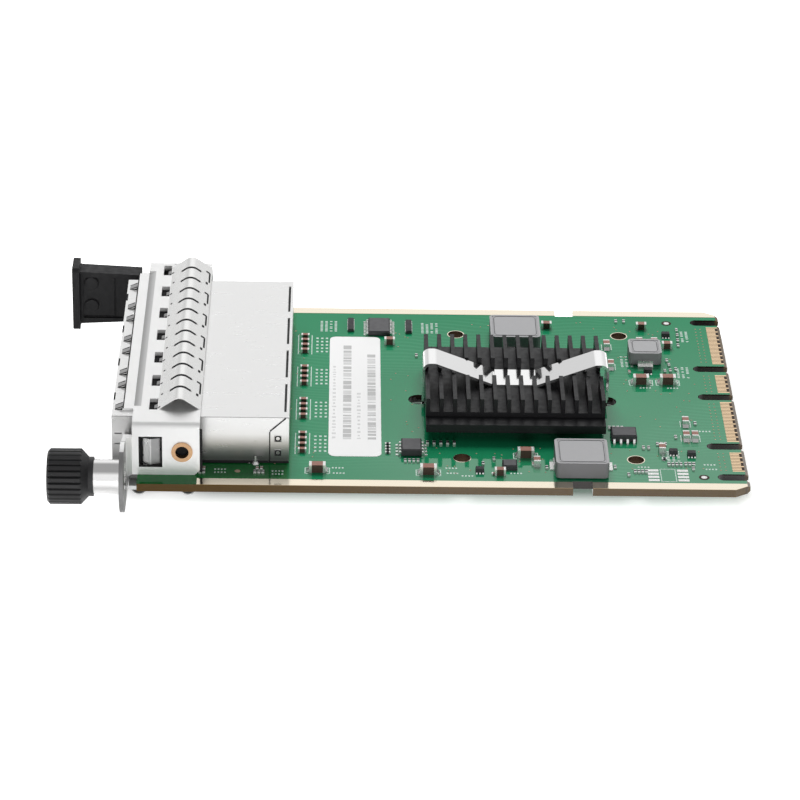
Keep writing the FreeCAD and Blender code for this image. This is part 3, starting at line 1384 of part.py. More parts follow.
build_board()
build_contacts()
build_ground_strips()
build_label()
build_jack_housing()
build_jack_shield()
build_jack_wires()
build_jack_insides()
build_bracket()
build_spring_strips()
build_side_springs()
build_eyelets()
build_thumbscrew()
build_tab_tongue()
build_pull_tab()
build_rivets()
build_heat_sink()
build_chip_stack()
build_clip()
build_inductors()
build_chips()
build_capacitors()
doc.recompute()

for thing in doc.Objects:
    if any(word in thing.State for word in ("Invalid", "Error")):
        raise ValueError(f"{thing.Label} failed: {thing.State}")
for thing in sub_parts:
    if thing.Shape.isNull() or not thing.Shape.isValid():
        raise ValueError(f"{thing.Label} has no valid shape")

os.makedirs("parts", exist_ok=True)
for thing in sub_parts:
    thing.Shape.exportStep(f"parts/{thing.Label}.step")
print(len(sub_parts), "sub-parts written")
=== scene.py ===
import logging
import math
import random
from contextlib import contextmanager
from dataclasses import dataclass
from enum import Enum
from typing import Callable, ClassVar, Iterable, Iterator, Sequence

import bpy
from mathutils import Matrix, Vector


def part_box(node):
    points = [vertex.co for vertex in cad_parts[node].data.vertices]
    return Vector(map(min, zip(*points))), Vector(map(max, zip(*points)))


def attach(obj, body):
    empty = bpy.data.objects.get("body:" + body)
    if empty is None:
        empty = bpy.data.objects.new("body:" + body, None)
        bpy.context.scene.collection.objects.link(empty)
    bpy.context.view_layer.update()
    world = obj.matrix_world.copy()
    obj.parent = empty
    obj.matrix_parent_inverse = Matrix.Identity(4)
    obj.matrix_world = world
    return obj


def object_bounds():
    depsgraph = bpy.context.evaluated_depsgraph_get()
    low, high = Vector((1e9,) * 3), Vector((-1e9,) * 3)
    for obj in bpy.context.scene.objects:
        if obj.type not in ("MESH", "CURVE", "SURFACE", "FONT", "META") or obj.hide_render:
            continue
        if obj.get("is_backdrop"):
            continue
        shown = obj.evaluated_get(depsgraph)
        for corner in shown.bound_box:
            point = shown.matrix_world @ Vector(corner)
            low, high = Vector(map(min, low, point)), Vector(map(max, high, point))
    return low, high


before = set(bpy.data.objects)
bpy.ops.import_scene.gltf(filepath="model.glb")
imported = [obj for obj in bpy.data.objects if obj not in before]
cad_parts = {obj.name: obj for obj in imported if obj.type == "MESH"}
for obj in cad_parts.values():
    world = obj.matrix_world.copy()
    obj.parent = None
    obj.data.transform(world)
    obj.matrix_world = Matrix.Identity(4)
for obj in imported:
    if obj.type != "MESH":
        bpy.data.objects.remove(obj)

logging.basicConfig(level=logging.INFO, format="%(message)s")
LOG = logging.getLogger("network_card")

MM = 0.001
BOARD_LENGTH = 115.0
CARD = "card"
FACING = 0.9
RELIEF = 0.5

Triple = tuple[float, float, float]
Colour = Triple
Place = tuple[float, float]
Bars = list[tuple[Place, Place]]
Thing = bpy.types.Object
Node = bpy.types.Node
Socket = bpy.types.NodeSocket
Value = Socket | float | Colour
FaceTest = Callable[[Vector], bool]


class Axis(Enum):
    """Direction that a small part's length runs in on the board."""

    ALONG = 0.0
    ACROSS = math.pi / 2


# Places and moves on the board


def along(from_port: float) -> float:
    """Turn a distance from the board's port end, in millimetres, into X in metres."""
    return (from_port - BOARD_LENGTH) * MM


def spot(x: float, y: float = 0.0, z: float = 0.0) -> Vector:
    """A point in metres, given in millimetres from the port end, the middle line and the upper face."""
    return Vector((along(x), y * MM, z * MM))


def to(x: float, y: float = 0.0, z: float = 0.0) -> Matrix:
    """Move from the origin to a point that is given as for spot."""
    return Matrix.Translation(spot(x, y, z))


def sideways(y: float) -> Matrix:
    """Move across the board by some millimetres."""
    return Matrix.Translation((0.0, y * MM, 0.0))


def grow(x: float, y: float, z: float = 1.0) -> Matrix:
    """Stretch along X, Y and Z."""
    return Matrix.Diagonal((x, y, z, 1.0))


def climb(run: float, rise: float) -> Matrix:
    """Tilt a level model so that it climbs by a rise over a run along X."""
    return Matrix.Rotation(-math.atan2(rise, run), 4, "Y")


# Most models are made at the middle of the board's port end, and this move brings one to the origin
START: Triple = (0.0, 0.0, 0.0)
HOME = Matrix.Translation((-along(0.0), 0.0, 0.0))


def put(place: Place, axis: Axis = Axis.ALONG, level: float = 0.0) -> Matrix:
    """Carry a model from the port end to a place and height on the board, its length along an axis."""
    return to(*place, level) @ Matrix.Rotation(axis.value, 4, "Z") @ HOME


def stretch(place: Place, size: Place) -> Matrix:
    """Carry a one-millimetre model to a place and stretch it along and across the board."""
    return to(*place) @ grow(*size) @ HOME


def every(normal: Vector) -> bool:
    """Test for any face."""
    return True


def upward(normal: Vector) -> bool:
    """Test for faces that look up."""
    return normal.z > FACING


def forward(normal: Vector) -> bool:
    """Test for faces that look towards the port end."""
    return normal.x < -FACING


class Bench:
    """Modelling steps that every sub-assembly uses, done with Blender's own operators."""

    @staticmethod
    def clear() -> None:
        """Leave edit mode and deselect everything."""
        if bpy.context.mode != "OBJECT":
            bpy.ops.object.mode_set(mode="OBJECT")
        bpy.ops.object.select_all(action="DESELECT")

    @staticmethod
    def pick(*things: Thing) -> None:
        """Select only these objects; the last one is active."""
        Bench.clear()
        for thing in things:
            thing.select_set(True)
            bpy.context.view_layer.objects.active = thing

    @staticmethod
    def settle(name: str, scale: Sequence[float] = (1.0, 1.0, 1.0)) -> Thing:
        """Name the active object, scale it, and put its place, turn and scale into its mesh."""
        thing = bpy.context.active_object
        thing.name = name
        thing.scale = scale
        Bench.pick(thing)
        bpy.ops.object.transform_apply(location=True, rotation=True, scale=True)
        return thing

    @staticmethod
    def box(name: str, centre: Sequence[float], size: Sequence[float]) -> Thing:
        """Add a block.

        Args:
            name: the object's name.
            centre: its middle in millimetres, as for spot.
            size: its lengths along X, Y and Z in millimetres.

        Returns:
            The new object, at the origin with its place in its mesh.
        """
        Bench.clear()
        bpy.ops.mesh.primitive_cube_add(size=1.0, location=spot(*centre))
        return Bench.settle(name, [length * MM for length in size])

    @staticmethod
    def drum(name: str, centre: Sequence[float], radius: float, depth: float, sides: int) -> Thing:
        """Add an upright drum, with its middle and sizes in millimetres as for a block."""
        Bench.clear()
        bpy.ops.mesh.primitive_cylinder_add(
            vertices=sides, radius=radius * MM, depth=depth * MM, location=spot(*centre))
        return Bench.settle(name)

    @staticmethod
    def hoop(name: str, centre: Sequence[float], radius: float, line: float = 0.12) -> Thing:
        """Add a flattened ring that faces along Y, with its middle and sizes as for a block."""
        Bench.clear()
        bpy.ops.mesh.primitive_torus_add(
            major_segments=32, minor_segments=6, major_radius=radius * MM, minor_radius=line * MM,
            location=spot(*centre), rotation=(math.pi / 2, 0.0, 0.0))
        return Bench.resize(Bench.settle(name), every, (1.0, 0.6, 1.0))

    @staticmethod
    @contextmanager
    def faces(thing: Thing, test: FaceTest) -> Iterator[None]:
        """Open an object in edit mode with some of its faces selected, and close it afterwards.

        Args:
            thing: the object whose mesh is edited.
            test: says from a face's normal whether the face is selected.
        """
        Bench.pick(thing)
        for element in (*thing.data.edges, *thing.data.vertices):
            element.select = False
        for face in thing.data.polygons:
            face.select = test(face.normal)
        bpy.ops.object.mode_set(mode="EDIT")
        bpy.ops.mesh.select_mode(type="FACE")
        yield
        bpy.ops.object.mode_set(mode="OBJECT")

    @staticmethod
    def resize(thing: Thing, test: FaceTest, scale: Triple) -> Thing:
        """Scale the faces that pass a test about their own middle."""
        with Bench.faces(thing, test):
            bpy.ops.transform.resize(value=scale)
        return thing

    @staticmethod
    def modify(thing: Thing, kind: str, **settings: object) -> Thing:
        """Add a modifier with its settings, and apply it."""
        Bench.pick(thing)
        change = thing.modifiers.new("change", kind)
        for name, value in settings.items():
            setattr(change, name, value)
        bpy.ops.object.modifier_apply(modifier=change.name)
        return thing

    @staticmethod
    def soften(thing: Thing, width: float, segments: int = 2) -> Thing:
        """Round every edge of an object by a width in millimetres."""
        return Bench.modify(thing, "BEVEL", width=width * MM, segments=segments, limit_method="ANGLE")

    @staticmethod
    def thicken(thing: Thing, thickness: float) -> Thing:
        """Give a sheet a thickness in millimetres, behind its face."""
        return Bench.modify(thing, "SOLIDIFY", thickness=thickness * MM, offset=-1.0)

    @staticmethod
    def join(name: str, things: Sequence[Thing]) -> Thing:
        """Join objects into one mesh at the origin."""
        Bench.pick(*things)
        bpy.ops.object.join()
        bpy.context.active_object.data.name = name
        return Bench.settle(name)

    @staticmethod
    def repeat(model: Thing, name: str, moves: Iterable[Matrix]) -> Thing:
        """Copy a model to many places and join the copies; the model itself goes.

        Args:
            model: the piece that was modelled once.
            name: the name of the joined piece.
            moves: one matrix for each copy, in metres.

        Returns:
            The joined piece.
        """
        copies = []
        for move in moves:
            twin = model.copy()
            twin.data = model.data.copy()
            twin.data.transform(move)
            bpy.context.scene.collection.objects.link(twin)
            copies.append(twin)
        bpy.data.objects.remove(model)
        return Bench.join(name, copies)


# Shader nodes and the effects that several finishes share


class Graph:
    """The nodes of a material, a world or a node group."""

    def __init__(self, tree: bpy.types.NodeTree) -> None:
        """Take up a node tree."""
        self.nodes, self.links = tree.nodes, tree.links

    def add(self, kind: str, given: dict[str, Value] | None = None, **settings: object) -> Node:
        """Add a node.

        Args:
            kind: its type, without the words that all shader nodes start with.
            given: values or links for its inputs, by input name.
            settings: its properties.

        Returns:
            The node.
        """
        node = self.nodes.new(f"ShaderNode{kind}")
        for name, value in settings.items():
            setattr(node, name, value)
        self.fill(node, given or {})
        return node

    def fill(self, node: Node, given: dict[str, Value]) -> None:
        """Give a node's inputs their values or links, by input name."""
        for name, value in given.items():
            self.feed(node.inputs[name], value)

    def feed(self, socket: Socket, value: Value) -> None:
        """Link an input to another node's output, or set it to a plain value or colour."""
        if isinstance(value, bpy.types.NodeSocket):
            self.links.new(value, socket)
        else:
            socket.default_value = (*value, 1.0) if socket.type == "RGBA" else value

    def where(self, kind: str = "Object") -> Socket:
        """A kind of coordinates."""
        return self.add("TexCoord").outputs[kind]

    def part(self, axis: str, kind: str = "Object") -> Socket:
        """One axis of a kind of coordinates."""
        return self.add("SeparateXYZ", {"Vector": self.where(kind)}).outputs[axis]

    def maths(self, operation: str, first: Value, second: Value = 0.0) -> Socket:
        """The result of an operation on one or two values."""
        node = self.add("Math", operation=operation)
        self.feed(node.inputs[0], first)
        self.feed(node.inputs[1], second)
        return node.outputs["Value"]

    def span(self, value: Value, ends: Sequence[float], low: Value = 0.0, high: Value = 1.0) -> Socket:
        """Carry a value from the span between two ends to the span from low to high, and no further."""
        given = {"Value": value, "From Min": ends[0], "From Max": ends[1], "To Min": low, "To Max": high}
        return self.add("MapRange", given).outputs["Result"]

    def mix(self, share: Value, first: Value, second: Value, kind: str = "RGBA") -> Socket:
        """Blend two colours, or two values, by the second one's share."""
        node = self.add("Mix", data_type=kind)
        self.fill(node, {"Factor": share, "A": first, "B": second})
        return node.outputs["Result"]

    def effect(self, name: str, **given: Value) -> Socket:
        """Place a shared effect with its inputs' values."""
        node = self.add("Group", node_tree=bpy.data.node_groups[name])
        self.fill(node, given)
        return node.outputs[0]


class Effects:
    """Node groups that put out a value over a surface."""

    GRAIN = "surface_grain"
    UPWARD = "upward_faces"
    DETAIL = 3.0
    MIDDLE = (0.3, 0.7)
    LEVEL = 0.95

    @staticmethod
    def start(name: str, result: str, **given: str) -> tuple[Graph, Node, Socket]:
        """Start a node group.

        Args:
            name: the group's name.
            result: the name of the value that it puts out.
            given: its inputs, each with its kind of socket.

        Returns:
            The group's graph, the node of its inputs, and the socket that takes its result.
        """
        group = bpy.data.node_groups.new(name, "ShaderNodeTree")
        for title, kind in given.items():
            group.interface.new_socket(title, in_out="INPUT", socket_type=f"NodeSocket{kind}")
        group.interface.new_socket(result, in_out="OUTPUT", socket_type="NodeSocketFloat")
        entry = group.nodes.new("NodeGroupInput")
        return Graph(group), entry, group.nodes.new("NodeGroupOutput").inputs[result]

    @staticmethod
    def build() -> None:
        """Build a fine noise between two values, and a mask of the faces that look up or down."""
        graph, entry, result = Effects.start(
            Effects.GRAIN, "Value", Stretch="Vector", Scale="Float", Low="Float", High="Float")
        given = entry.outputs
        scaled = graph.add("VectorMath", operation="MULTIPLY")
        graph.feed(scaled.inputs[0], graph.where())
        graph.feed(scaled.inputs[1], given["Stretch"])
        settings = {"Vector": scaled.outputs["Vector"], "Scale": given["Scale"], "Detail": Effects.DETAIL}
        noise = graph.add("TexNoise", settings)
        graph.feed(result, graph.span(noise.outputs["Fac"], Effects.MIDDLE, given["Low"], given["High"]))
        graph, entry, result = Effects.start(Effects.UPWARD, "Flat")
        size = graph.maths("ABSOLUTE", graph.part("Z", "Normal"))
        graph.feed(result, graph.maths("GREATER_THAN", size, Effects.LEVEL))


@dataclass(frozen=True)
class Finish:
    """One surface finish: a colour, a gloss and a fine grain.

    Attributes:
        name: the material's name.
        slot: the record's material slot; not used by this script.
        colour: base colour, linear.
        low: roughness where the grain is smoothest.
        high: roughness where it is coarsest.
        metallic: 1 for bare metal.
        grain: the grain's scale per metre.
        stretch: how the grain is drawn out along X, Y and Z.
        bump: height of the grain's bumps in millimetres.
        edge: colour of the faces that don't look up or down, where that differs; the board's laminate has its
            own, while on chips, cores, capacitors and the steel walls it is painted shade.
        index: refractive index, which sets how much it mirrors.
    """

    name: str
    slot: str
    colour: Colour
    low: float
    high: float
    metallic: float = 0.0
    grain: float = 900.0
    stretch: Triple = (1.0, 1.0, 1.0)
    bump: float = 0.0
    edge: Colour | None = None
    index: float = 1.5

    def material(self) -> bpy.types.Material:
        """Build this finish, or fetch it if it is there."""
        title = f"{self.name}_finish"
        found = bpy.data.materials.get(title)
        if found:
            return found
        made = bpy.data.materials.new(title)
        made.use_nodes = True
        graph = Graph(made.node_tree)
        shader = graph.nodes["Principled BSDF"]
        graph.fill(shader, {"Base Color": self.colour, "Metallic": self.metallic, "IOR": self.index})
        graph.feed(shader.inputs["Roughness"], self.grained(graph, self.low, self.high))
        if self.bump:
            height = self.grained(graph, 0.0, 1.0)
            relief = graph.add("Bump", {"Strength": RELIEF, "Distance": self.bump * MM, "Height": height})
            graph.feed(shader.inputs["Normal"], relief.outputs["Normal"])
        graph.feed(shader.inputs["Base Color"], self.face_colour(graph, shader))
        return made

    def grained(self, graph: Graph, low: float, high: float) -> Socket:
        """The shared grain between two values, with this finish's own scale."""
        return graph.effect(Effects.GRAIN, Stretch=self.stretch, Scale=self.grain, Low=low, High=high)

    def face_colour(self, graph: Graph, shader: Node) -> Value:
        """The faces' colour, with the edge colour on the sides where this finish has one; on chips, cores and
        capacitors those darker sides are painted shade.
        """
        if self.edge is None:
            return self.colour
        return graph.mix(graph.effect(Effects.UPWARD), self.edge, self.colour)


@dataclass(frozen=True)
class MaskFinish(Finish):
    """Green solder mask with the faint relief of copper tracks under it, bare laminate at the edges, and
    painted shade beside the jack and on the walls of slots and holes.

    Attributes:
        track: colour of the mask over the tracks.
        wall: painted shade, the dark colour of the walls of slots and holes, away from the board's outline.
        painted_shade_green: painted shade, a deeper green for the mask beside the jack, where no light is
            mirrored.
        dull: specular level of the mask itself.
        bright: weight of the clear coat at the mask's glossiest corner.
        gloss_along: distances from the port end, in millimetres, between which the coat comes in.
        gloss_across: places across the board between which it comes in.
        jack_shade: distances from the port end between which the painted shade green comes in.
        outline_across: distances from the middle line between which walls stop being the outline.
        outline_along: the same, from the port end.
        track_scale: how close the tracks lie.
        track_wander: how far they wander.
        track_share: how strongly they show.
        line_edges: levels of the tracks' wave between which a line comes in.
        patch_scale: how close the patches with tracks lie.
        patch_edges: levels of the patches' noise between which a patch comes in.
    """

    track: Colour = (0.02, 0.30, 0.15)
    wall: Colour = (0.02, 0.014, 0.01)
    painted_shade_green: Colour = (0.005, 0.15, 0.028)
    dull: float = 0.13
    bright: float = 0.95
    gloss_along: Place = (18.0, 58.0)
    gloss_across: Place = (36.0, -30.0)
    jack_shade: Place = (29.0, 27.8)
    outline_across: Place = (36.9, 36.6)
    outline_along: Place = (114.5, 114.1)
    track_scale: float = 240.0
    track_wander: float = 14.0
    track_share: float = 0.55
    line_edges: Place = (0.55, 0.75)
    patch_scale: float = 28.0
    patch_edges: Place = (0.5, 0.56)

    def face_colour(self, graph: Graph, shader: Node) -> Value:
        """The mask's greens on the flat faces, with painted shade beside the jack, and the laminate's colours
        on the edges, with painted shade on the walls of slots and holes.
        """
        self.coat(graph, shader)
        green = graph.mix(self.tracks(graph), self.colour, self.track)
        # Painted shade: the mask beside the jack turns a deeper green, where no light is mirrored.
        green = graph.mix(self.reach(graph, "X", self.jack_shade), green, self.painted_shade_green)
        # Painted shade: walls inside the board's outline, those of slots and holes, take the dark wall
        # colour.
        aside = graph.maths("ABSOLUTE", graph.part("Y"))
        within = graph.span(aside, [place * MM for place in self.outline_across])
        inner = graph.maths("MULTIPLY", within, self.reach(graph, "X", self.outline_along))
        edges = graph.mix(inner, self.edge or self.colour, self.wall)
        return graph.mix(graph.effect(Effects.UPWARD), edges, green)

    @staticmethod
    def reach(graph: Graph, axis: str, ends: Place) -> Socket:
        """Share of the way between two places on the board along X or Y, given in millimetres."""
        metres = [along(end) if axis == "X" else end * MM for end in ends]
        return graph.span(graph.part(axis), metres)

    def coat(self, graph: Graph, shader: Node) -> None:
        """Make the mask glossier towards one corner."""
        share = graph.maths(
            "MULTIPLY", self.reach(graph, "X", self.gloss_along), self.reach(graph, "Y", self.gloss_across))
        graph.fill(shader, {
            "Coat Weight": graph.span(share, (0.0, 1.0), high=self.bright),
            "Specular IOR Level": self.dull, "Coat Roughness": self.low,
        })

    def tracks(self, graph: Graph) -> Socket:
        """Wandering lines in some patches of the board."""
        where = graph.where()
        patches = graph.add("TexNoise", {"Vector": where, "Scale": self.patch_scale, "Detail": 1.0})
        lines = graph.add("TexWave", {
            "Vector": where, "Scale": self.track_scale, "Distortion": self.track_wander,
            "Detail": 0.0, "Detail Scale": 0.25,
        }, wave_type="BANDS", bands_direction="Y")
        drawn = graph.maths(
            "MULTIPLY", graph.span(lines.outputs["Fac"], self.line_edges),
            graph.span(patches.outputs["Fac"], self.patch_edges))
        return graph.maths("MULTIPLY", drawn, self.track_share)


@dataclass(frozen=True)
class WallFinish(Finish):
    """Bright plate whose walls darken towards one end of an axis, as painted shade.

    Attributes:
        foot: place on the axis, in millimetres, where the painted shade on the walls is darkest.
        head: place where they are as bright as the faces that look up.
        axis: the axis, X, Y or Z.
    """

    foot: float = 1.0
    head: float = 6.0
    axis: str = "Z"

    def face_colour(self, graph: Graph, shader: Node) -> Value:
        """Blend from the edge colour at the foot of the walls, a painted shade, to the plate's own colour."""
        rise = graph.span(graph.part(self.axis), (self.foot * MM, self.head * MM))
        share = graph.maths("MAXIMUM", rise, graph.effect(Effects.UPWARD))
        return graph.mix(share, self.edge or self.colour, self.colour)


def grey(level: float) -> Colour:
    """An even grey."""
    return (level, level, level)


BOARD_GREEN = MaskFinish(
    "board_green", "green_board", (0.011, 0.245, 0.104), 0.05, 0.1,
    grain=420.0, bump=0.004, edge=(0.11, 0.065, 0.02), track=(0.03, 0.3, 0.14),
)
GOLD = Finish("strip_gold", "gold", (0.93, 0.84, 0.68), 0.08, 0.16, metallic=1.0, edge=(0.5, 0.36, 0.2))
CONTACT_GOLD = Finish("contact_gold", "gold", (0.95, 0.7, 0.44), 0.16, 0.26, metallic=1.0)
BARE_LAMINATE = Finish("bare_laminate", "green_board", (0.035, 0.022, 0.014), 0.6, 0.75)
# Partly real, partly painted shade: the copper lining of the holes, darkened for the shade inside them.
HOLE_COPPER_IN_PAINTED_SHADE = Finish("hole_copper_in_painted_shade", "gold", (0.09, 0.045, 0.025), 0.3, 0.45, metallic=0.7)
VIA_COPPER = Finish("via_copper", "gold", (0.55, 0.42, 0.30), 0.35, 0.5, metallic=0.6)
PAPER = Finish("label_paper", "paper", grey(0.97), 0.45, 0.6)
SILK = Finish("silk_white", "paper", (0.62, 0.74, 0.68), 0.5, 0.65)
PRINT_GREY = Finish("print_grey", "paper", grey(0.56), 0.5, 0.65)
PRINT_PALE = Finish("print_pale", "paper", grey(0.72), 0.5, 0.65)
# Painted shade: the shield's walls darken towards the board, as shade near its foot.
TIN = WallFinish(
    "tin_plate", "tin_plate", (0.84, 0.84, 0.835), 0.27, 0.3,
    metallic=0.75, stretch=(1.0, 8.0, 8.0), grain=160.0, edge=grey(0.2),
)
BLACK_PLASTIC = Finish(
    "black_moulding", "black_moulding", (0.009, 0.009, 0.01), 0.42, 0.6, bump=0.02, index=1.4)
KNOB_BLACK = Finish("knob_black", "black_moulding", (0.016, 0.016, 0.017), 0.34, 0.5, bump=0.01)
# Painted shade: the black of the sheets, blocks, bars, rings and lines that stand in for shade in gaps,
# slots, grooves and recesses.
PAINTED_SHADE_BLACK = Finish("painted_shade_black", "black_moulding", (0.012, 0.012, 0.013), 0.8, 0.95, bump=0.05)
LENS = Finish("light_guide", "lens", (0.75, 0.77, 0.72), 0.15, 0.25)
FERRITE = Finish("ferrite", "ferrite", (0.05, 0.05, 0.055), 0.6, 0.8)
# Painted shade: the bracket's walls darken out on the near ear.
BRACKET_STEEL = WallFinish(
    "bracket_steel", "bracket_steel", (0.95, 0.95, 0.945), 0.36, 0.46, metallic=0.55,
    stretch=(6.0, 1.0, 6.0), grain=220.0, edge=grey(0.26), axis="Y", foot=-40.0, head=-36.5,
)
# Painted shade: a darker copy of the bracket steel for the lip's slope and the shield's tongues; its walls
# darken further towards the port end.
PAINTED_SHADE_STEEL = WallFinish(
    "painted_shade_steel", "bracket_steel", grey(0.78), 0.3, 0.4, metallic=0.7,
    edge=grey(0.42), axis="X", foot=-0.7 - BOARD_LENGTH, head=0.6 - BOARD_LENGTH,
)
# Painted shade: the side leaves' walls darken from 2.2 to 2.7 mm from the port end and stay dark beyond.
SIDE_LEAF = WallFinish(
    "side_leaf", "spring_steel", grey(0.92), 0.25, 0.35, metallic=1.0,
    edge=grey(0.3), axis="X", foot=2.7 - BOARD_LENGTH, head=2.2 - BOARD_LENGTH,
)
SPRING_STEEL = Finish("spring_steel", "spring_steel", (0.9, 0.9, 0.89), 0.18, 0.26, metallic=1.0)
# Painted shade: a dark copy of the spring steel for the strip's clip tabs and the shield's fold line.
PAINTED_DARK_SHADE = Finish("painted_dark_shade", "spring_steel", grey(0.4), 0.25, 0.35, metallic=1.0)
FOOT_STEEL = Finish("foot_steel", "spring_steel", (0.62, 0.62, 0.61), 0.3, 0.4, metallic=0.7)
CLIP_STEEL = Finish("clip_steel", "spring_steel", grey(0.92), 0.08, 0.15, metallic=1.0)
BRASS = Finish("brass", "brass_eyelet", (0.55, 0.34, 0.19), 0.2, 0.32, metallic=0.9)
NICKEL = Finish("nickel", "nickel", (0.85, 0.845, 0.84), 0.08, 0.16, metallic=1.0)
BLACK_ANODISED = Finish(
    "black_anodised", "black_anodised", (0.008, 0.008, 0.009), 0.34, 0.5, bump=0.01, index=1.4)
PAD_GREY = Finish("pad_grey", "pad_compound", (0.3, 0.31, 0.34), 0.7, 0.85)
CHIP_BLACK = Finish("chip_black", "chip_moulding", (0.03, 0.031, 0.034), 0.5, 0.66, bump=0.01)
# Painted shade: the chips' sides are darker than their tops.
CHIP_GREY = Finish(
    "chip_grey", "chip_moulding", (0.1, 0.1, 0.105), 0.5, 0.66, bump=0.01, edge=(0.035, 0.035, 0.038))
# Painted shade: the cores' sides are darker than their tops.
CORE = Finish(
    "inductor_core", "inductor_core", (0.44, 0.44, 0.45), 0.5, 0.66, bump=0.015, edge=(0.18, 0.18, 0.185))
# Painted shade: the dark line in the groove round each inductor's top.
INDUCTOR_GROOVE_SHADE = Finish("inductor_rim", "inductor_core", (0.1, 0.1, 0.105), 0.5, 0.66)
SOLDER = Finish("solder", "solder_tin", (0.84, 0.84, 0.83), 0.22, 0.36, metallic=0.8)
# Painted shade: the capacitors' sides are darker than their tops.
CERAMIC = Finish("ceramic", "ceramic", (0.3, 0.14, 0.105), 0.35, 0.5, edge=(0.05, 0.03, 0.022))


def paint(thing: Thing, *finishes: Finish) -> None:
    """Give a mesh its materials, in the order of its faces' material numbers."""
    for finish in finishes:
        thing.data.materials.append(finish.material())


def add_piece(thing: Thing, *finishes: Finish) -> None:
    """Finish a new piece: its materials in order, and the card as its body."""
    if not thing.data.materials:
        paint(thing, *finishes)
    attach(thing, CARD)
    LOG.info("added %s, %d faces", thing.name, len(thing.data.polygons))


# Places that several sub-assemblies share, from the port end and across, in millimetres

BULK_PLACES: tuple[Place, ...] = ((33.7, -32.1), (54.6, -32.5), (73.2, -25.4), (97.2, 5.8), (102.5, 5.9))
UPRIGHT_PLACES: tuple[Place, ...] = (
    (104.6, -11.7), (104.3, -17.6), (106.0, -17.6), (91.3, 21.4), (91.6, 12.6),
)
FILTER_MIDDLES: tuple[float, ...] = (-21.25, -7.15, 6.95, 21.05)


class Assembly:
    """CAD nodes with their finishes, and the pieces that are added to them."""

    coats: ClassVar[tuple[tuple[Finish, tuple[str, ...]], ...]] = ()

    def dress(self) -> None:
        """Give the CAD nodes their finishes."""
        for finish, nodes in self.coats:
            for node in nodes:
                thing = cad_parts[node]
                thing.data.materials.clear()
                paint(thing, finish)
                LOG.info("dressed %s in %s", node, finish.name)

    def build(self) -> None:
        """Add the pieces; most sub-assemblies have their own."""


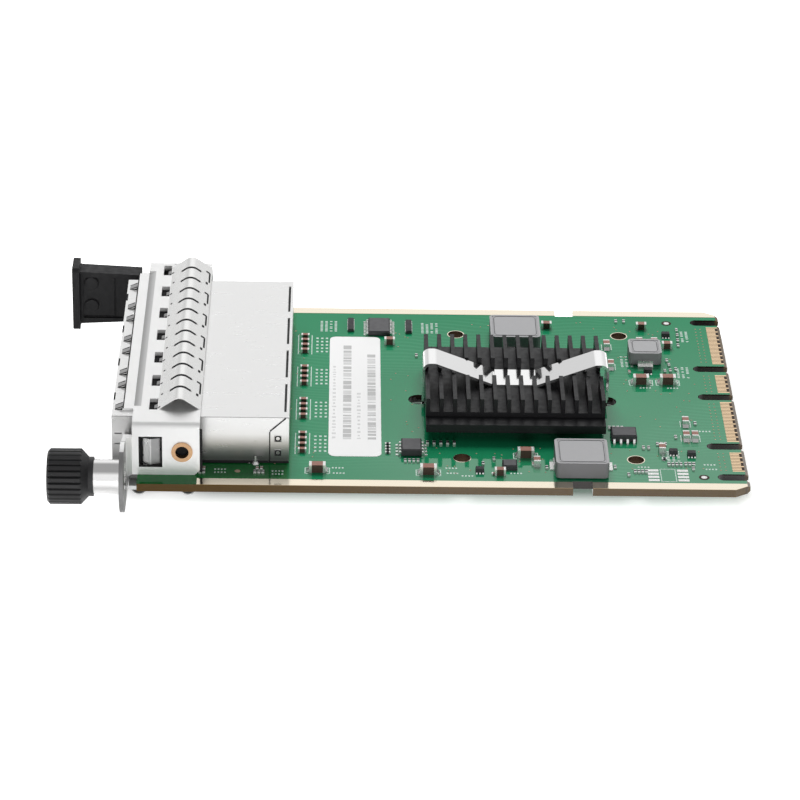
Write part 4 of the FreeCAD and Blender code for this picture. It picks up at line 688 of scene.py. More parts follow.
@dataclass
class BoardPrint(Assembly):
    """The bare board and its own detail: silk marks, vias, plated rings and label print."""

    ink: float = 0.02
    silk_line: float = 0.18
    via_radius: float = 0.16
    ring_radius: float = 1.72
    hole_radius: float = 1.55
    board_thickness: float = 1.57
    label_top: float = 0.1
    contact_middle: float = 113.26
    contact_length: float = 2.28
    dot_radius: float = 0.56
    clear_radius: float = 1.0
    standoffs: tuple[Place, ...] = ((61.1, -26.5), (61.1, 26.5), (94.1, -26.5), (94.1, 26.5))
    fiducial_places: tuple[Place, ...] = ((104.2, 32.6), (106.5, -33.2))
    test_pad: Place = (18.7, -32.6)
    contact_beds: tuple[Place, ...] = ((22.6, 16.6), (5.6, 7.6), (-10.5, 16.6), (-27.0, 7.6))
    seed: int = 7
    coats = (
        (BOARD_GREEN, ("circuit_board",)), (CONTACT_GOLD, ("edge_contacts",)),
        (GOLD, ("ground_strip_near", "ground_strip_far")), (PAPER, ("paper_label",)),
    )

    def build(self) -> None:
        """Add the print, the vias and the rings."""
        self.bars("silk_marks", self.frames() + self.words(), SILK)
        self.label_print()
        self.vias()
        add_piece(Bench.join("plated_rings", [self.ring(hole) for hole in self.standoffs]), GOLD)
        add_piece(Bench.join("hole_linings", [self.barrel(hole) for hole in self.standoffs]), HOLE_COPPER_IN_PAINTED_SHADE)
        beds = [((self.contact_middle, y), (self.contact_length, reach)) for y, reach in self.contact_beds]
        self.bars("contact_beds", beds, BARE_LAMINATE)
        self.fiducials()
        self.empty_footprint()

    def bars(self, name: str, bars: Bars, finish: Finish, level: float = 0.0) -> None:
        """Add flat printed bars.

        Args:
            name: the piece's name.
            bars: each bar's place and its size along and across, in millimetres.
            finish: the ink.
            level: height of the surface that they lie on.
        """
        bar = Bench.box("bar", (0.0, 0.0, level + self.ink / 2), (1.0, 1.0, self.ink))
        Bench.soften(bar, self.ink / 4, 1)
        add_piece(Bench.repeat(bar, name, [stretch(*item) for item in bars]), finish)

    def frames(self) -> Bars:
        """Bracket-shaped outlines at the larger capacitors, and lines beside the other rows."""
        line, marks = self.silk_line, []
        for x, y in BULK_PLACES:
            for hand in (-1, 1):
                side = x + hand * 2.3
                marks.append(((side, y), (line, 2.3)))
                marks.extend(((side - hand * 0.3, y + edge * 1.15), (0.6, line)) for edge in (-1, 1))
        for x, y in UPRIGHT_PLACES:
            marks.extend(((x + hand * 0.95, y), (line, 2.6)) for hand in (-1, 1))
        for y in FILTER_MIDDLES:
            marks.extend(((30.75 + hand * 1.35, y), (line, 8.6)) for hand in (-1, 1))
        return marks

    def words(self) -> Bars:
        """Short dashes in rows where small print stands; they spell nothing."""
        draw = random.Random(self.seed)
        column_step, marks = 0.95, []
        for y in FILTER_MIDDLES:
            for line in range(5):
                for column in range(3):
                    marks.append(((33.2 + column * column_step, y + (line - 2) * 1.5), (0.45, 0.6)))
        blocks = ((34.0, 29.6, 4), (54.4, 29.2, 4), (106.9, 26.5, 2), (104.9, 10.4, 3), (94.0, 15.0, 3),
                  (99.4, -24.6, 4))
        for x, y, columns in blocks:
            for column in range(columns):
                for line in range(8):
                    if draw.random() < 0.85:
                        marks.append(((x + column * column_step, y + (line - 3.5) * 0.62), (0.5, 0.36)))
        rows = ((14.5, -31.9), (14.5, -33.1), (25.3, -32.4), (25.3, -33.6), (36.6, -30.9), (36.8, -33.0),
                (58.0, -30.6), (58.2, -32.6), (97.0, 3.6), (102.4, 3.6), (94.4, -29.4), (107.2, -14.6),
                (107.0, -28.2), (107.2, -30.0), (61.0, -33.6), (70.2, -32.4))
        for x, y in rows:
            marks.extend(((x + column * 0.62, y), (0.34, 0.5)) for column in range(4))
        return marks

    def label_print(self) -> None:
        """Plain grey bars in two columns on the label, with rows of pale dashes beside them."""
        draw = random.Random(self.seed + 1)
        dark, pale = [], []
        for column, low, high in ((39.25, -19.5, 19.5), (44.0, -19.5, 17.0)):
            y = low
            while y < high:
                depth = draw.uniform(0.4, 1.7)
                shade = dark if draw.random() < 0.5 else pale
                shade.append(((column, y + depth / 2), (1.6, depth)))
                y += depth + draw.uniform(0.1, 0.9)
        for column, low, high in ((36.7, -19.5, 11.0), (41.5, -19.5, 0.0)):
            y = low
            while y < high:
                depth = draw.uniform(0.5, 1.4)
                pale.append(((column, y + depth / 2), (draw.uniform(0.25, 0.8), depth * 0.5)))
                y += depth + 0.35
        self.bars("label_bars_dark", dark, PRINT_GREY, self.label_top)
        self.bars("label_bars_pale", pale, PRINT_PALE, self.label_top)

    def vias(self) -> None:
        """Small plated holes in lines behind the contacts and among the tracks, and one larger test pad."""
        draw = random.Random(self.seed + 2)
        dot = Bench.drum("via", (0.0, 0.0, self.ink), self.via_radius, self.ink * 2, 8)
        with Bench.faces(dot, upward):
            bpy.ops.mesh.inset(thickness=self.via_radius * 0.4 * MM, depth=-self.ink * MM)
        spots = []
        for middle, count in ((22.6, 12), (5.6, 6), (-10.5, 12), (-27.0, 6)):
            for index in range(count):
                y = middle + (index - (count - 1) / 2) * 1.35
                spots.extend([(109.9, y), (110.9, y)])
        areas = (((23.5, 34.0), (-30.0, 32.0), 30), ((47.5, 53.0), (-20.0, 27.0), 16),
                 ((93.0, 108.0), (-34.0, 31.0), 50), ((56.0, 90.0), (-34.0, -22.0), 24),
                 ((56.0, 90.0), (14.0, 34.0), 16))
        for x_ends, y_ends, count in areas:
            spots.extend((draw.uniform(*x_ends), draw.uniform(*y_ends)) for _ in range(count))
        add_piece(Bench.repeat(dot, "vias", [put(place) for place in spots]), VIA_COPPER)
        add_piece(self.disc("test_pad", self.test_pad, self.dot_radius, self.ink * 2, 24), VIA_COPPER)

    @staticmethod
    def disc(name: str, place: Place, radius: float, height: float, sides: int) -> Thing:
        """A low disc on the board with a softened rim."""
        return Bench.soften(Bench.drum(name, (*place, height / 2), radius, height, sides), height / 4, 1)

    def barrel(self, place: Place) -> Thing:
        """The copper lining of a hole at a place, darkened with painted shade: an open tube a hair inside its
        wall.
        """
        depth = self.board_thickness
        tube = Bench.drum("barrel", (*place, -depth / 2), self.hole_radius - self.ink / 2, depth, 40)
        with Bench.faces(tube, lambda normal: abs(normal.z) > FACING):
            bpy.ops.mesh.delete(type="FACE")
        return Bench.thicken(tube, self.ink)

    def ring(self, place: Place) -> Thing:
        """A flat plated ring round a hole at a place, cut from a disc by an inset."""
        Bench.clear()
        bpy.ops.mesh.primitive_circle_add(
            vertices=40, radius=self.ring_radius * MM, fill_type="NGON", location=spot(*place, self.ink))
        disc = Bench.settle("ring")
        with Bench.faces(disc, every):
            bpy.ops.mesh.inset(thickness=(self.ring_radius - self.hole_radius) * MM)
            bpy.ops.mesh.delete(type="FACE")
        return Bench.thicken(disc, self.ink)

    def fiducials(self) -> None:
        """Two round aiming marks: a bright dot in a ring that is free of mask."""
        dots, grounds = [], []
        for place in self.fiducial_places:
            dots.append(self.disc("dot", place, self.dot_radius, self.ink * 2, 24))
            grounds.append(self.disc("ground", place, self.clear_radius, self.ink, 32))
        add_piece(Bench.join("fiducial_dots", dots), SOLDER)
        add_piece(Bench.join("fiducial_rings", grounds), BARE_LAMINATE)

    def empty_footprint(self) -> None:
        """Bare tinned pads for a chip that isn't fitted, inside a printed outline."""
        land = Bench.soften(Bench.box("pad", (0.0, 0.0, 0.03), (2.1, 0.85, 0.06)), 0.02)
        spots = [(x, -30.7 - index * 1.27) for x in (97.0, 102.6) for index in range(4)]
        add_piece(Bench.repeat(land, "bare_pads", [put(place) for place in spots]), SOLDER)
        line = 0.16
        outline = [((99.8, y), (2.8, line)) for y in (-30.1, -35.0)]
        outline.extend(((x, -32.55), (line, 4.9)) for x in (98.4, 101.2))
        self.bars("footprint_outline", outline, SILK)


@dataclass
class TinyParts(Assembly):
    """Small chip parts that are soldered between the larger ones."""

    length: float = 1.05
    width: float = 0.55
    height: float = 0.4
    end: float = 0.28
    network_size: Triple = (1.2, 5.2, 0.6)
    network_level: float = 0.35
    network_places: tuple[Place, ...] = ((39.9, 29.8), (51.6, 29.2))
    terminals: int = 7
    terminal_size: Triple = (0.22, 0.38, 0.38)
    terminal_level: float = 0.2
    terminal_out: float = 0.62
    terminal_pitch: float = 0.7
    transistor_size: Triple = (1.7, 1.3, 0.8)
    transistor_level: float = 0.5
    transistor_draft: Triple = (0.9, 0.86, 1.0)
    transistor_places: tuple[Place, ...] = (
        (64.3, -31.8), (101.4, -23.8), (104.8, -24.5), (103.6, 26.6), (98.9, 10.4),
    )
    lead_size: Triple = (0.3, 0.42, 0.24)
    lead_draft: Triple = (0.8, 0.5, 1.0)
    lead_out: float = 0.82
    lead_pitch: float = 0.6

    def chip(self, name: str, body: Finish) -> Thing:
        """Model one chip part at the board's port end: a block cut at its two plated ends.

        Args:
            name: the model's name.
            body: the finish between its plated ends.

        Returns:
            The model, with its faces' materials set.
        """
        part = Bench.box(name, (0.0, 0.0, self.height / 2), (self.length, self.width, self.height))
        Bench.soften(part, 0.04)
        reach = self.length / 2 - self.end
        for hand in (-1, 1):
            with Bench.faces(part, every):
                bpy.ops.mesh.bisect(plane_co=spot(hand * reach), plane_no=(1.0, 0.0, 0.0))
        paint(part, body, SOLDER)
        for face in part.data.polygons:
            face.material_index = int(abs(face.center.x - along(0.0)) > reach * MM)
        return part

    def build(self) -> None:
        """Add the resistors, the small capacitors, the networks and the transistors."""
        capacitors = [(place, Axis.ACROSS) for place in (
            (74.5, -28.9), (99.5, -22.6), (95.2, 10.2), (12.4, -31.9), (22.4, -31.7), (23.2, -31.7))]
        capacitors.insert(0, ((67.0, -32.9), Axis.ALONG))
        for name, body, parts in (
                ("resistor", CHIP_BLACK, self.resistors()), ("capacitor", CERAMIC, capacitors)):
            moves = [put(*part) for part in parts]
            add_piece(Bench.repeat(self.chip(name, body), f"chip_{name}s", moves), body, SOLDER)
        self.networks()
        self.transistors()

    @staticmethod
    def resistors() -> list[tuple[Place, Axis]]:
        """Each resistor's place and the way that it lies: single ones, then even rows."""
        single = (
            (53.0, 16.4), (65.0, -28.9), (67.1, -27.0), (77.0, -30.2), (95.8, -21.9), (96.8, -21.9),
            (102.3, -17.4), (106.5, -11.7), (104.7, -30.2), (92.3, -32.8), (89.9, -29.8), (103.0, 15.3),
            (103.3, 13.4), (102.3, 10.7), (103.4, 10.9), (104.5, 11.5), (106.0, 29.2), (106.0, 26.9),
            (105.9, 24.5), (105.8, 22.2), (93.9, 32.9), (95.5, 32.9),
        )
        rows = (
            (50.3, -28.1, 0.8, 4), (89.8, -13.9, 0.8, 4), (100.2, -28.5, 0.75, 4), (93.6, -31.5, 0.7, 4),
            (22.0, -33.2, 0.75, 3), (10.9, -33.3, 0.75, 3), (103.4, -28.4, 0.75, 3), (98.6, -20.4, 0.75, 3),
            (54.6, -20.7, 1.28, 5),
        )
        across = list(single)
        for x, y, step, count in rows:
            across.extend((x + index * step, y) for index in range(count))
        lengthwise = [(99.5, -26.3)] + [(47.0, -21.4 - index * 1.15) for index in range(4)]
        return [(place, Axis.ACROSS) for place in across] + [(place, Axis.ALONG) for place in lengthwise]

    def networks(self) -> None:
        """Two resistor networks with a row of terminals down each side."""
        bodies, ends = [], []
        for x, y in self.network_places:
            body = Bench.box("network", (x, y, self.network_level), self.network_size)
            bodies.append(Bench.soften(body, 0.06))
            for hand in (-1, 1):
                for index in range(self.terminals):
                    row = y + (index - (self.terminals - 1) / 2) * self.terminal_pitch
                    middle = (x + hand * self.terminal_out, row, self.terminal_level)
                    ends.append(Bench.soften(Bench.box("terminal", middle, self.terminal_size), 0.03, 1))
        add_piece(Bench.join("network_bodies", bodies), CHIP_BLACK)
        add_piece(Bench.join("network_terminals", ends), SOLDER)

    def transistors(self) -> None:
        """Six-lead transistors: drafted black bodies on short bent leads."""
        body = Bench.box("transistor", (0.0, 0.0, self.transistor_level), self.transistor_size)
        Bench.soften(Bench.resize(body, upward, self.transistor_draft), 0.04)
        lead = Bench.box("lead", (0.0, 0.0, self.lead_size[2] / 2), self.lead_size)
        Bench.resize(lead, upward, self.lead_draft)
        moves, feet = [], []
        for x, y in self.transistor_places:
            moves.append(put((x, y)))
            for step in (-1, 0, 1):
                feet.extend(put((x + step * self.lead_pitch, y + hand * self.lead_out)) for hand in (-1, 1))
        add_piece(Bench.repeat(body, "transistor_bodies", moves), CHIP_BLACK)
        add_piece(Bench.repeat(lead, "transistor_leads", feet), SOLDER)


@dataclass
class SolderJoints(Assembly):
    """Bright solder that runs from each larger part's end down to the board."""

    width: float = 1.5
    reach: float = 0.55
    height: float = 0.7
    toe: float = 0.08
    bulk_end: float = 1.8
    upright_end: float = 1.28

    def wedge(self) -> Thing:
        """Model one joint: a block whose outer upper edge is drawn down to a thin toe."""
        joint = Bench.box("joint", (0.0, 0.0, self.height / 2), (self.reach, self.width, self.height))
        for corner in joint.data.vertices:
            if corner.co.x > along(self.reach / 4) and corner.co.z > self.height / 2 * MM:
                corner.co.z = self.toe * MM
        return Bench.soften(joint, 0.05)

    def build(self) -> None:
        """Add joints at both ends of the large capacitors and of those that stand across."""
        quarter, slim = math.pi / 2, grow(1.0, 0.75, 0.8)
        moves = []
        for places, end, turns, shape in (
                (BULK_PLACES, self.bulk_end, (0, 2), Matrix.Identity(4)),
                (UPRIGHT_PLACES, self.upright_end, (1, -1), slim)):
            outward = Matrix.Translation((end * MM, 0.0, 0.0))
            for place in places:
                for turn in turns:
                    facing = Matrix.Rotation(turn * quarter, 4, "Z")
                    moves.append(to(*place) @ facing @ outward @ shape @ HOME)
        add_piece(Bench.repeat(self.wedge(), "solder_joints", moves), SOLDER)


@dataclass
class Jack(Assembly):
    """The four-port jack in its folded shield."""

    near_wall: float = -29.1
    shield_front: float = -5.0
    shield_top: float = 9.6
    flap_start: float = 24.78
    flap_end: float = 28.25
    flap_sheet: float = 0.12
    flap_level: float = 4.85
    flap_height: float = 9.3
    flap_corner: float = 6.74
    cut_facing: Triple = (-0.68, 0.0, 0.73)
    cut_top: float = 9.5
    cut_run: float = 2.95
    dimple_size: Triple = (1.4, 0.1, 1.4)
    dimple_from_port: float = 26.23
    dimple_levels: Place = (5.2, 2.2)
    dimple_rim: float = 0.35
    ring_radius: float = 0.5
    fold_line: float = 0.12
    ports: int = 4
    first_port: float = -21.0
    port_pitch: float = 14.4
    notch_place: Place = (-4.85, 9.56)
    notch_size: Triple = (0.32, 3.0, 0.12)
    leg_from_port: float = 22.0
    leg_out: float = 0.45
    tongue_start: float = -4.5
    tongue_run: float = 1.4
    tongue_rise: float = 0.5
    tongue_half: float = 0.85
    tongue_spread: float = 4.5
    wedge_width: float = 0.45
    seam: float = 0.2
    coats = (
        (TIN, ("jack_shield",)), (BLACK_PLASTIC, ("jack_housing",)), (GOLD, ("jack_wires",)),
        (LENS, ("port_lights",)), (FERRITE, ("jack_transformers",)), (SOLDER, ("jack_pins",)),
    )

    @property
    def outer(self) -> float:
        """The middle of the flap's sheet, across the board."""
        return self.near_wall - self.flap_sheet / 2

    @property
    def port_middles(self) -> list[float]:
        """The ports' middles, across the board."""
        return [self.first_port + index * self.port_pitch for index in range(self.ports)]

    def build(self) -> None:
        """Add the flap at the near wall's rear corner, the painted shade lines, the tongues' painted shade
        and the ground leg.
        """
        width = self.flap_end - self.flap_start
        middle = (self.flap_start + width / 2, self.outer, self.flap_level)
        flap = Bench.box("shield_flap", middle, (width, self.flap_sheet, self.flap_height))
        corner = spot(self.flap_start, 0.0, self.flap_corner)
        with Bench.faces(flap, every):
            bpy.ops.mesh.bisect(plane_co=corner, plane_no=self.cut_facing, use_fill=True, clear_outer=True)
        add_piece(Bench.soften(flap, 0.03), TIN)
        self.dimples()
        self.painted_shade_lines()
        self.tongues()
        self.ground_leg()

    def dimples(self) -> None:
        """The flap's two pressed dimples, each with a dark rim and ring of painted shade."""
        dimple = Bench.soften(Bench.box("dimple", START, self.dimple_size), 0.03)
        with Bench.faces(dimple, lambda normal: normal.y < -FACING):
            bpy.ops.mesh.inset(thickness=0.08 * MM)
            bpy.ops.mesh.inset(thickness=0.3 * MM, depth=-0.06 * MM)
        paint(dimple, TIN, PAINTED_SHADE_BLACK)
        rim = self.dimple_rim * MM
        for face in dimple.data.polygons:
            offset = face.center - spot(0.0)
            from_middle = max(abs(offset.x), abs(offset.z))
            face.material_index = int(face.normal.y < -0.5 and rim < from_middle < 1.8 * rim)
        moves = [to(self.dimple_from_port, self.outer - 0.07, level) @ HOME for level in self.dimple_levels]
        add_piece(Bench.repeat(dimple, "shield_dimples", moves), TIN, PAINTED_SHADE_BLACK)
        places = [(self.dimple_from_port, self.outer - 0.12, level) for level in self.dimple_levels]
        rings = [Bench.hoop("ring", place, self.ring_radius) for place in places]
        add_piece(Bench.join("dimple_rings", rings), PAINTED_SHADE_BLACK)

    def painted_shade_lines(self) -> None:
        """Painted shade: a dark line along the fold, and dark bars for the shade in the gaps along the flap's
        edges, at the wall's foot and at the front edge.
        """
        length = self.flap_end - self.shield_front
        middle = (self.shield_front + length / 2, self.near_wall + 0.02, self.shield_top - 0.04)
        fold = Bench.box("shield_fold_line", middle, (length, self.fold_line, self.fold_line))
        add_piece(Bench.soften(fold, 0.02, 1), PAINTED_DARK_SHADE)
        gap, corner = self.seam, self.flap_corner
        rise, run = self.cut_top - corner, self.cut_run
        slant = climb(run, rise) @ grow(math.hypot(rise, run), 1.0, gap)
        places = [
            to(self.flap_start - gap / 2, self.outer, corner / 2) @ grow(gap, 1.0, corner - 0.3),
            to(self.flap_end / 2, self.outer, gap) @ grow(self.flap_end, 1.0, 2 * gap),
            to(self.flap_start + run / 2, self.outer, corner + rise / 2) @ slant,
        ]
        (x, level), (depth, across, height) = self.notch_place, self.notch_size
        places.extend(to(x, y, level) @ grow(depth, across / gap, height) for y in self.port_middles)
        bar = Bench.box("seam", START, (1.0, gap, 1.0))
        add_piece(Bench.repeat(bar, "shield_seams", [place @ HOME for place in places]), PAINTED_SHADE_BLACK)

    def tongues(self) -> None:
        """Painted shade: darker leaves over the shield's sprung tongues, and dark wedges for the shade that
        opens along their sides.
        """
        length = math.hypot(self.tongue_run, self.tongue_rise)
        leaf = Bench.box("leaf", START, (length, 2 * self.tongue_half - 0.3, 0.04))
        Bench.soften(leaf, 0.01, 1)
        wedge = Bench.box("wedge", START, (length, self.wedge_width, 0.06))
        Bench.resize(wedge, forward, (1.0, 0.1, 1.0))
        level = self.shield_top + self.tongue_rise / 2 + 0.03
        there = to(self.tongue_start + self.tongue_run / 2, 0.0, level)
        lay = there @ climb(self.tongue_run, self.tongue_rise) @ HOME
        middles = [y + hand * self.tongue_spread for y in self.port_middles for hand in (-1, 1)]
        add_piece(Bench.repeat(leaf, "tongue_faces", [sideways(y) @ lay for y in middles]), PAINTED_SHADE_STEEL)
        sides = [sideways(y + hand * self.tongue_half) @ lay for y in middles for hand in (-1, 1)]
        add_piece(Bench.repeat(wedge, "tongue_gaps", sides), PAINTED_SHADE_BLACK)

    def ground_leg(self) -> None:
        """The leg that the shield is soldered to the board by, and its solder."""
        place = (self.leg_from_port, self.near_wall - self.leg_out)
        leg = Bench.resize(Bench.drum("leg", (*place, 0.8), 0.3, 1.6, 16), upward, (0.6, 0.6, 1.0))
        blob = Bench.resize(Bench.drum("blob", (*place, 0.25), 0.75, 0.5, 20), upward, (0.45, 0.45, 1.0))
        soft = [Bench.soften(blob, 0.08), Bench.soften(leg, 0.05)]
        add_piece(Bench.join("shield_ground_leg", soft), SOLDER)


@dataclass
class Bracket(Assembly):
    """The folded bracket with its spring strips, side springs and eyelets."""

    windows: int = 7
    first_window: float = -26.2
    window_pitch: float = 9.8
    window_from_port: float = 2.0
    # Place and size of the dark sheet of painted shade under the windows.
    painted_shade_near: float = -28.8
    painted_shade_far: float = 30.0
    painted_shade_depth: float = 2.6
    painted_shade_thickness: float = 0.22
    painted_shade_level: float = 9.74
    tab_size: Triple = (0.6, 1.4, 0.2)
    tab_dip: float = 0.22
    tab_level: float = 10.25
    strip_start: float = 3.7
    strip_end: float = 11.7
    strip_foot: float = 10.73
    strip_fall: float = 0.7
    strip_near: float = -28.2
    strip_across: float = 62.2
    crown_radius: float = 2.0
    crown_level: float = 11.06
    slits: int = 12
    slit_width: float = 0.6
    slit_tail: float = 0.8
    slit_line: float = 0.1
    clip_gaps: tuple[tuple[Place, Place, int], ...] = (
        ((3.88, -1.5), (0.5, 0.25), 1), ((4.2, 3.4), (0.4, 0.3), 1), ((11.0, -1.8), (0.85, 0.5), -1),
        ((11.35, -3.9), (0.34, 4.2), -1), ((10.9, -7.0), (0.5, 0.8), -1),
    )
    clip_sheet: float = 0.04
    side_middle: Place = (5.6, 4.65)
    side_size: Place = (10.8, 8.7)
    side_gap: float = 0.35
    lip_front: float = -3.0
    lip_foot: Place = (-0.9, 10.15)
    lip_head: Place = (0.5, 10.7)
    lip_near: float = -27.0
    lip_far: float = 32.2
    plate_rear: float = 11.95
    plate_face: float = -34.15
    side_window_middle: Place = (2.5, 4.8)
    side_window_size: Place = (4.4, 6.4)
    window_line: float = 0.26
    line_depth: float = 0.3
    coats = (
        (BRACKET_STEEL, ("bracket", "tab_tongue")), (SPRING_STEEL, ("spring_strip_upper",)),
        (FOOT_STEEL, ("spring_strip_lower_front", "spring_strip_lower_rear")),
        (SIDE_LEAF, ("side_spring_near", "side_spring_far")), (BRASS, ("eyelet_near", "eyelet_far")),
    )

    @property
    def window_middles(self) -> list[float]:
        """The top windows' middles, across the board."""
        return [self.first_window + index * self.window_pitch for index in range(self.windows)]

    def build(self) -> None:
        """Add the painted shade: a dark sheet under the windows, dark blocks beside the jack, the strip's
        clip tabs in a dark steel and its dark lines, and the lip's and windows' lines.
        """
        # Painted shade: a dark sheet under the windows stands in for the shade seen through them.
        across, length = (self.painted_shade_near + self.painted_shade_far) / 2, self.painted_shade_far - self.painted_shade_near
        middle = (self.window_from_port + 0.8, across, self.painted_shade_level)
        dark_sheet = Bench.box("window_painted_shade", middle, (self.painted_shade_depth, length, self.painted_shade_thickness))
        add_piece(Bench.soften(dark_sheet, 0.05), PAINTED_SHADE_BLACK)
        # Painted shade: the clip tabs take a dark copy of the steel, for the shade in the windows.
        tab = Bench.box("tab", START, self.tab_size)
        with Bench.faces(tab, forward):
            bpy.ops.transform.translate(value=(0.0, 0.0, -self.tab_dip * MM))
        Bench.soften(tab, 0.05)
        moves = [put((self.window_from_port + 1.2, y), level=self.tab_level) for y in self.window_middles]
        add_piece(Bench.repeat(tab, "strip_clip_tabs", moves), PAINTED_DARK_SHADE)
        self.clip_slots()
        self.slit_lines()
        self.side_gaskets()
        self.lip_lines()

    def clip_slots(self) -> None:
        """Painted shade: dark bars for the shade in the gaps round the clip tabs at the feet of the strip's
        two slopes.
        """
        bar = Bench.box("gap", START, (1.0, 1.0, self.clip_sheet))
        moves = []
        for index, y in enumerate(self.window_middles):
            for (x, aside), size, facing in self.clip_gaps:
                if index or facing > 0:
                    moves.append(self.on_slope((x, y + aside), size, facing))
        add_piece(Bench.repeat(bar, "strip_clip_gaps", moves), PAINTED_SHADE_BLACK)

    def on_slope(self, place: Place, size: Place, facing: int) -> Matrix:
        """Matrix that lays a one-millimetre bar on a slope of the upper strip.

        Args:
            place: distance from the port end and across from the middle line, in millimetres.
            size: the bar's lengths down the slope and across the strip.
            facing: 1 for the slope that rises away from the port end, -1 for the one that falls.

        Returns:
            The matrix, in metres.
        """
        up_slope = place[0] - self.strip_start if facing > 0 else self.strip_end - place[0]
        there = to(*place, self.strip_foot + self.strip_fall * up_slope)
        return there @ climb(1.0, facing * self.strip_fall) @ grow(*size) @ HOME

    def slit_lines(self) -> None:
        """Painted shade: dark lines over the upper strip's crown, one along each slit, spun round the crown's
        bend.
        """
        lean = math.atan(self.strip_fall)
        centre = spot((self.strip_start + self.strip_end) / 2, 0.0, self.crown_level)
        Bench.clear()
        bpy.ops.mesh.primitive_plane_add(size=1.0, rotation=(0.0, math.pi / 2, 0.0))
        line = Bench.settle("line", (self.slit_line * MM, self.slit_width * MM, 1.0))
        lift = Matrix.Translation((0.0, 0.0, self.crown_radius * MM))
        line.data.transform(Matrix.Translation(centre) @ Matrix.Rotation(-lean, 4, "Y") @ lift)
        with Bench.faces(line, every):
            bpy.ops.mesh.spin(steps=8, angle=-2 * lean, center=centre, axis=(0.0, 1.0, 0.0))
            bpy.ops.mesh.select_all(action="SELECT")
            bpy.ops.mesh.normals_make_consistent(inside=False)
        for hand in (-1, 1):
            tail = (hand * self.slit_tail * MM, 0.0, -self.slit_tail * self.strip_fall * MM)
            with Bench.faces(line, lambda normal: normal.x * hand > 0.7):
                bpy.ops.mesh.extrude_region_move(TRANSFORM_OT_translate={"value": tail})
        step = self.strip_across / (self.slits + 1)
        moves = [sideways(self.strip_near + (index + 1) * step) for index in range(self.slits)]
        add_piece(Bench.repeat(line, "strip_slit_lines", moves), PAINTED_SHADE_BLACK)

    def side_gaskets(self) -> None:
        """Dark blocks of painted shade between the jack's walls and the bracket's side plates, behind the
        side springs.
        """
        jack_low, jack_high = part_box("jack_shield")
        near_leaf, far_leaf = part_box("side_spring_near"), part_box("side_spring_far")
        (x, z), (length, height) = self.side_middle, self.side_size
        blocks = []
        for wall, leaf in ((jack_low[1], near_leaf[1][1]), (jack_high[1], far_leaf[0][1])):
            hand = 1 if leaf > wall else -1
            inner, outer = wall / MM + hand * self.side_gap, leaf / MM - hand * self.side_gap
            block = Bench.box("painted_shade_block", (x, (inner + outer) / 2, z), (length, abs(outer - inner), height))
            blocks.append(Bench.soften(block, 0.2))
        add_piece(Bench.join("side_gaskets", blocks), PAINTED_SHADE_BLACK)

    def lip_lines(self) -> None:
        """Painted shade: a darker band down the lip's slope, and dark bars at the lip's edge, the near
        plate's rear edge and round its side window.
        """
        run, rise = self.lip_head[0] - self.lip_foot[0], self.lip_head[1] - self.lip_foot[1]
        middle, across = (self.lip_near + self.lip_far) / 2, self.lip_far - self.lip_near
        band = Bench.box("lip_band", START, (math.hypot(run, rise), across - 0.2, 0.06))
        Bench.soften(band, 0.02, 1)
        there = to(self.lip_foot[0] + run / 2, middle, self.lip_foot[1] + rise / 2)
        band.data.transform(there @ climb(run, rise) @ HOME)
        add_piece(band, PAINTED_SHADE_STEEL)
        (x, z), (width, height) = self.side_window_middle, self.side_window_size
        face, line, depth = self.plate_face, self.window_line, self.line_depth
        gaps = [((self.lip_front + 0.1, middle, self.lip_foot[1]), (0.22, across, 0.06)),
                ((self.plate_rear, face, 5.1), (0.5, depth, 9.0))]
        for hand in (-1, 1):
            gaps.append(((x, face, z + hand * (height - line) / 2), (width, depth, line)))
            gaps.append(((x + hand * (width - line) / 2, face, z), (line, depth, height)))
        bars = [Bench.soften(Bench.box("gap", *gap), 0.02, 1) for gap in gaps]
        add_piece(Bench.join("bracket_edge_gaps", bars), PAINTED_SHADE_BLACK)


@dataclass
class Thumbscrew(Assembly):
    """The captive thumbscrew."""

    coats = (
        (KNOB_BLACK, ("thumb_knob",)), (NICKEL, ("captive_screw", "screw_ferrule")),
        (SPRING_STEEL, ("screw_retaining_ring", "screw_spring")),
    )


@dataclass
class PullTab(Assembly):
    """The pull tab and its rivets."""

    panel_face: float = 34.38
    groove_from_port: float = -8.15
    groove_low: float = -0.6
    groove_high: float = 7.9
    ledge_from_port: float = -14.7
    groove_depth: float = 0.1
    bosses: tuple[Place, ...] = ((-12.85, 1.9), (-12.85, 6.9))
    boss_radius: float = 1.4
    coats = ((BLACK_PLASTIC, ("pull_tab", "tab_rivets")),)

    def build(self) -> None:
        """Add dark bars of painted shade in the grooves of the tab's panel, and dark rings of painted shade
        round its two bosses.
        """
        height, width = self.groove_high - self.groove_low, self.groove_from_port - self.ledge_from_port
        upright = (self.groove_from_port, self.panel_face, self.groove_low + height / 2)
        level = (self.ledge_from_port + width / 2, self.panel_face, self.groove_low)
        depth, grooves = self.groove_depth, []
        for centre, size in ((upright, (0.4, depth, height)), (level, (width, depth, 0.35))):
            grooves.append(Bench.soften(Bench.box("groove", centre, size), 0.04, 1))
        for x, z in self.bosses:
            grooves.append(Bench.hoop("ring", (x, self.panel_face, z), self.boss_radius))
        add_piece(Bench.join("tab_grooves", grooves), PAINTED_SHADE_BLACK)


@dataclass
class Cooler(Assembly):
    """Heat sink, clip and the chip under them."""

    coats = (
        (BLACK_ANODISED, ("heat_sink",)), (CLIP_STEEL, ("heat_sink_clip",)), (PAD_GREY, ("thermal_pad",)),
        (CHIP_BLACK, ("network_chip",)),
    )


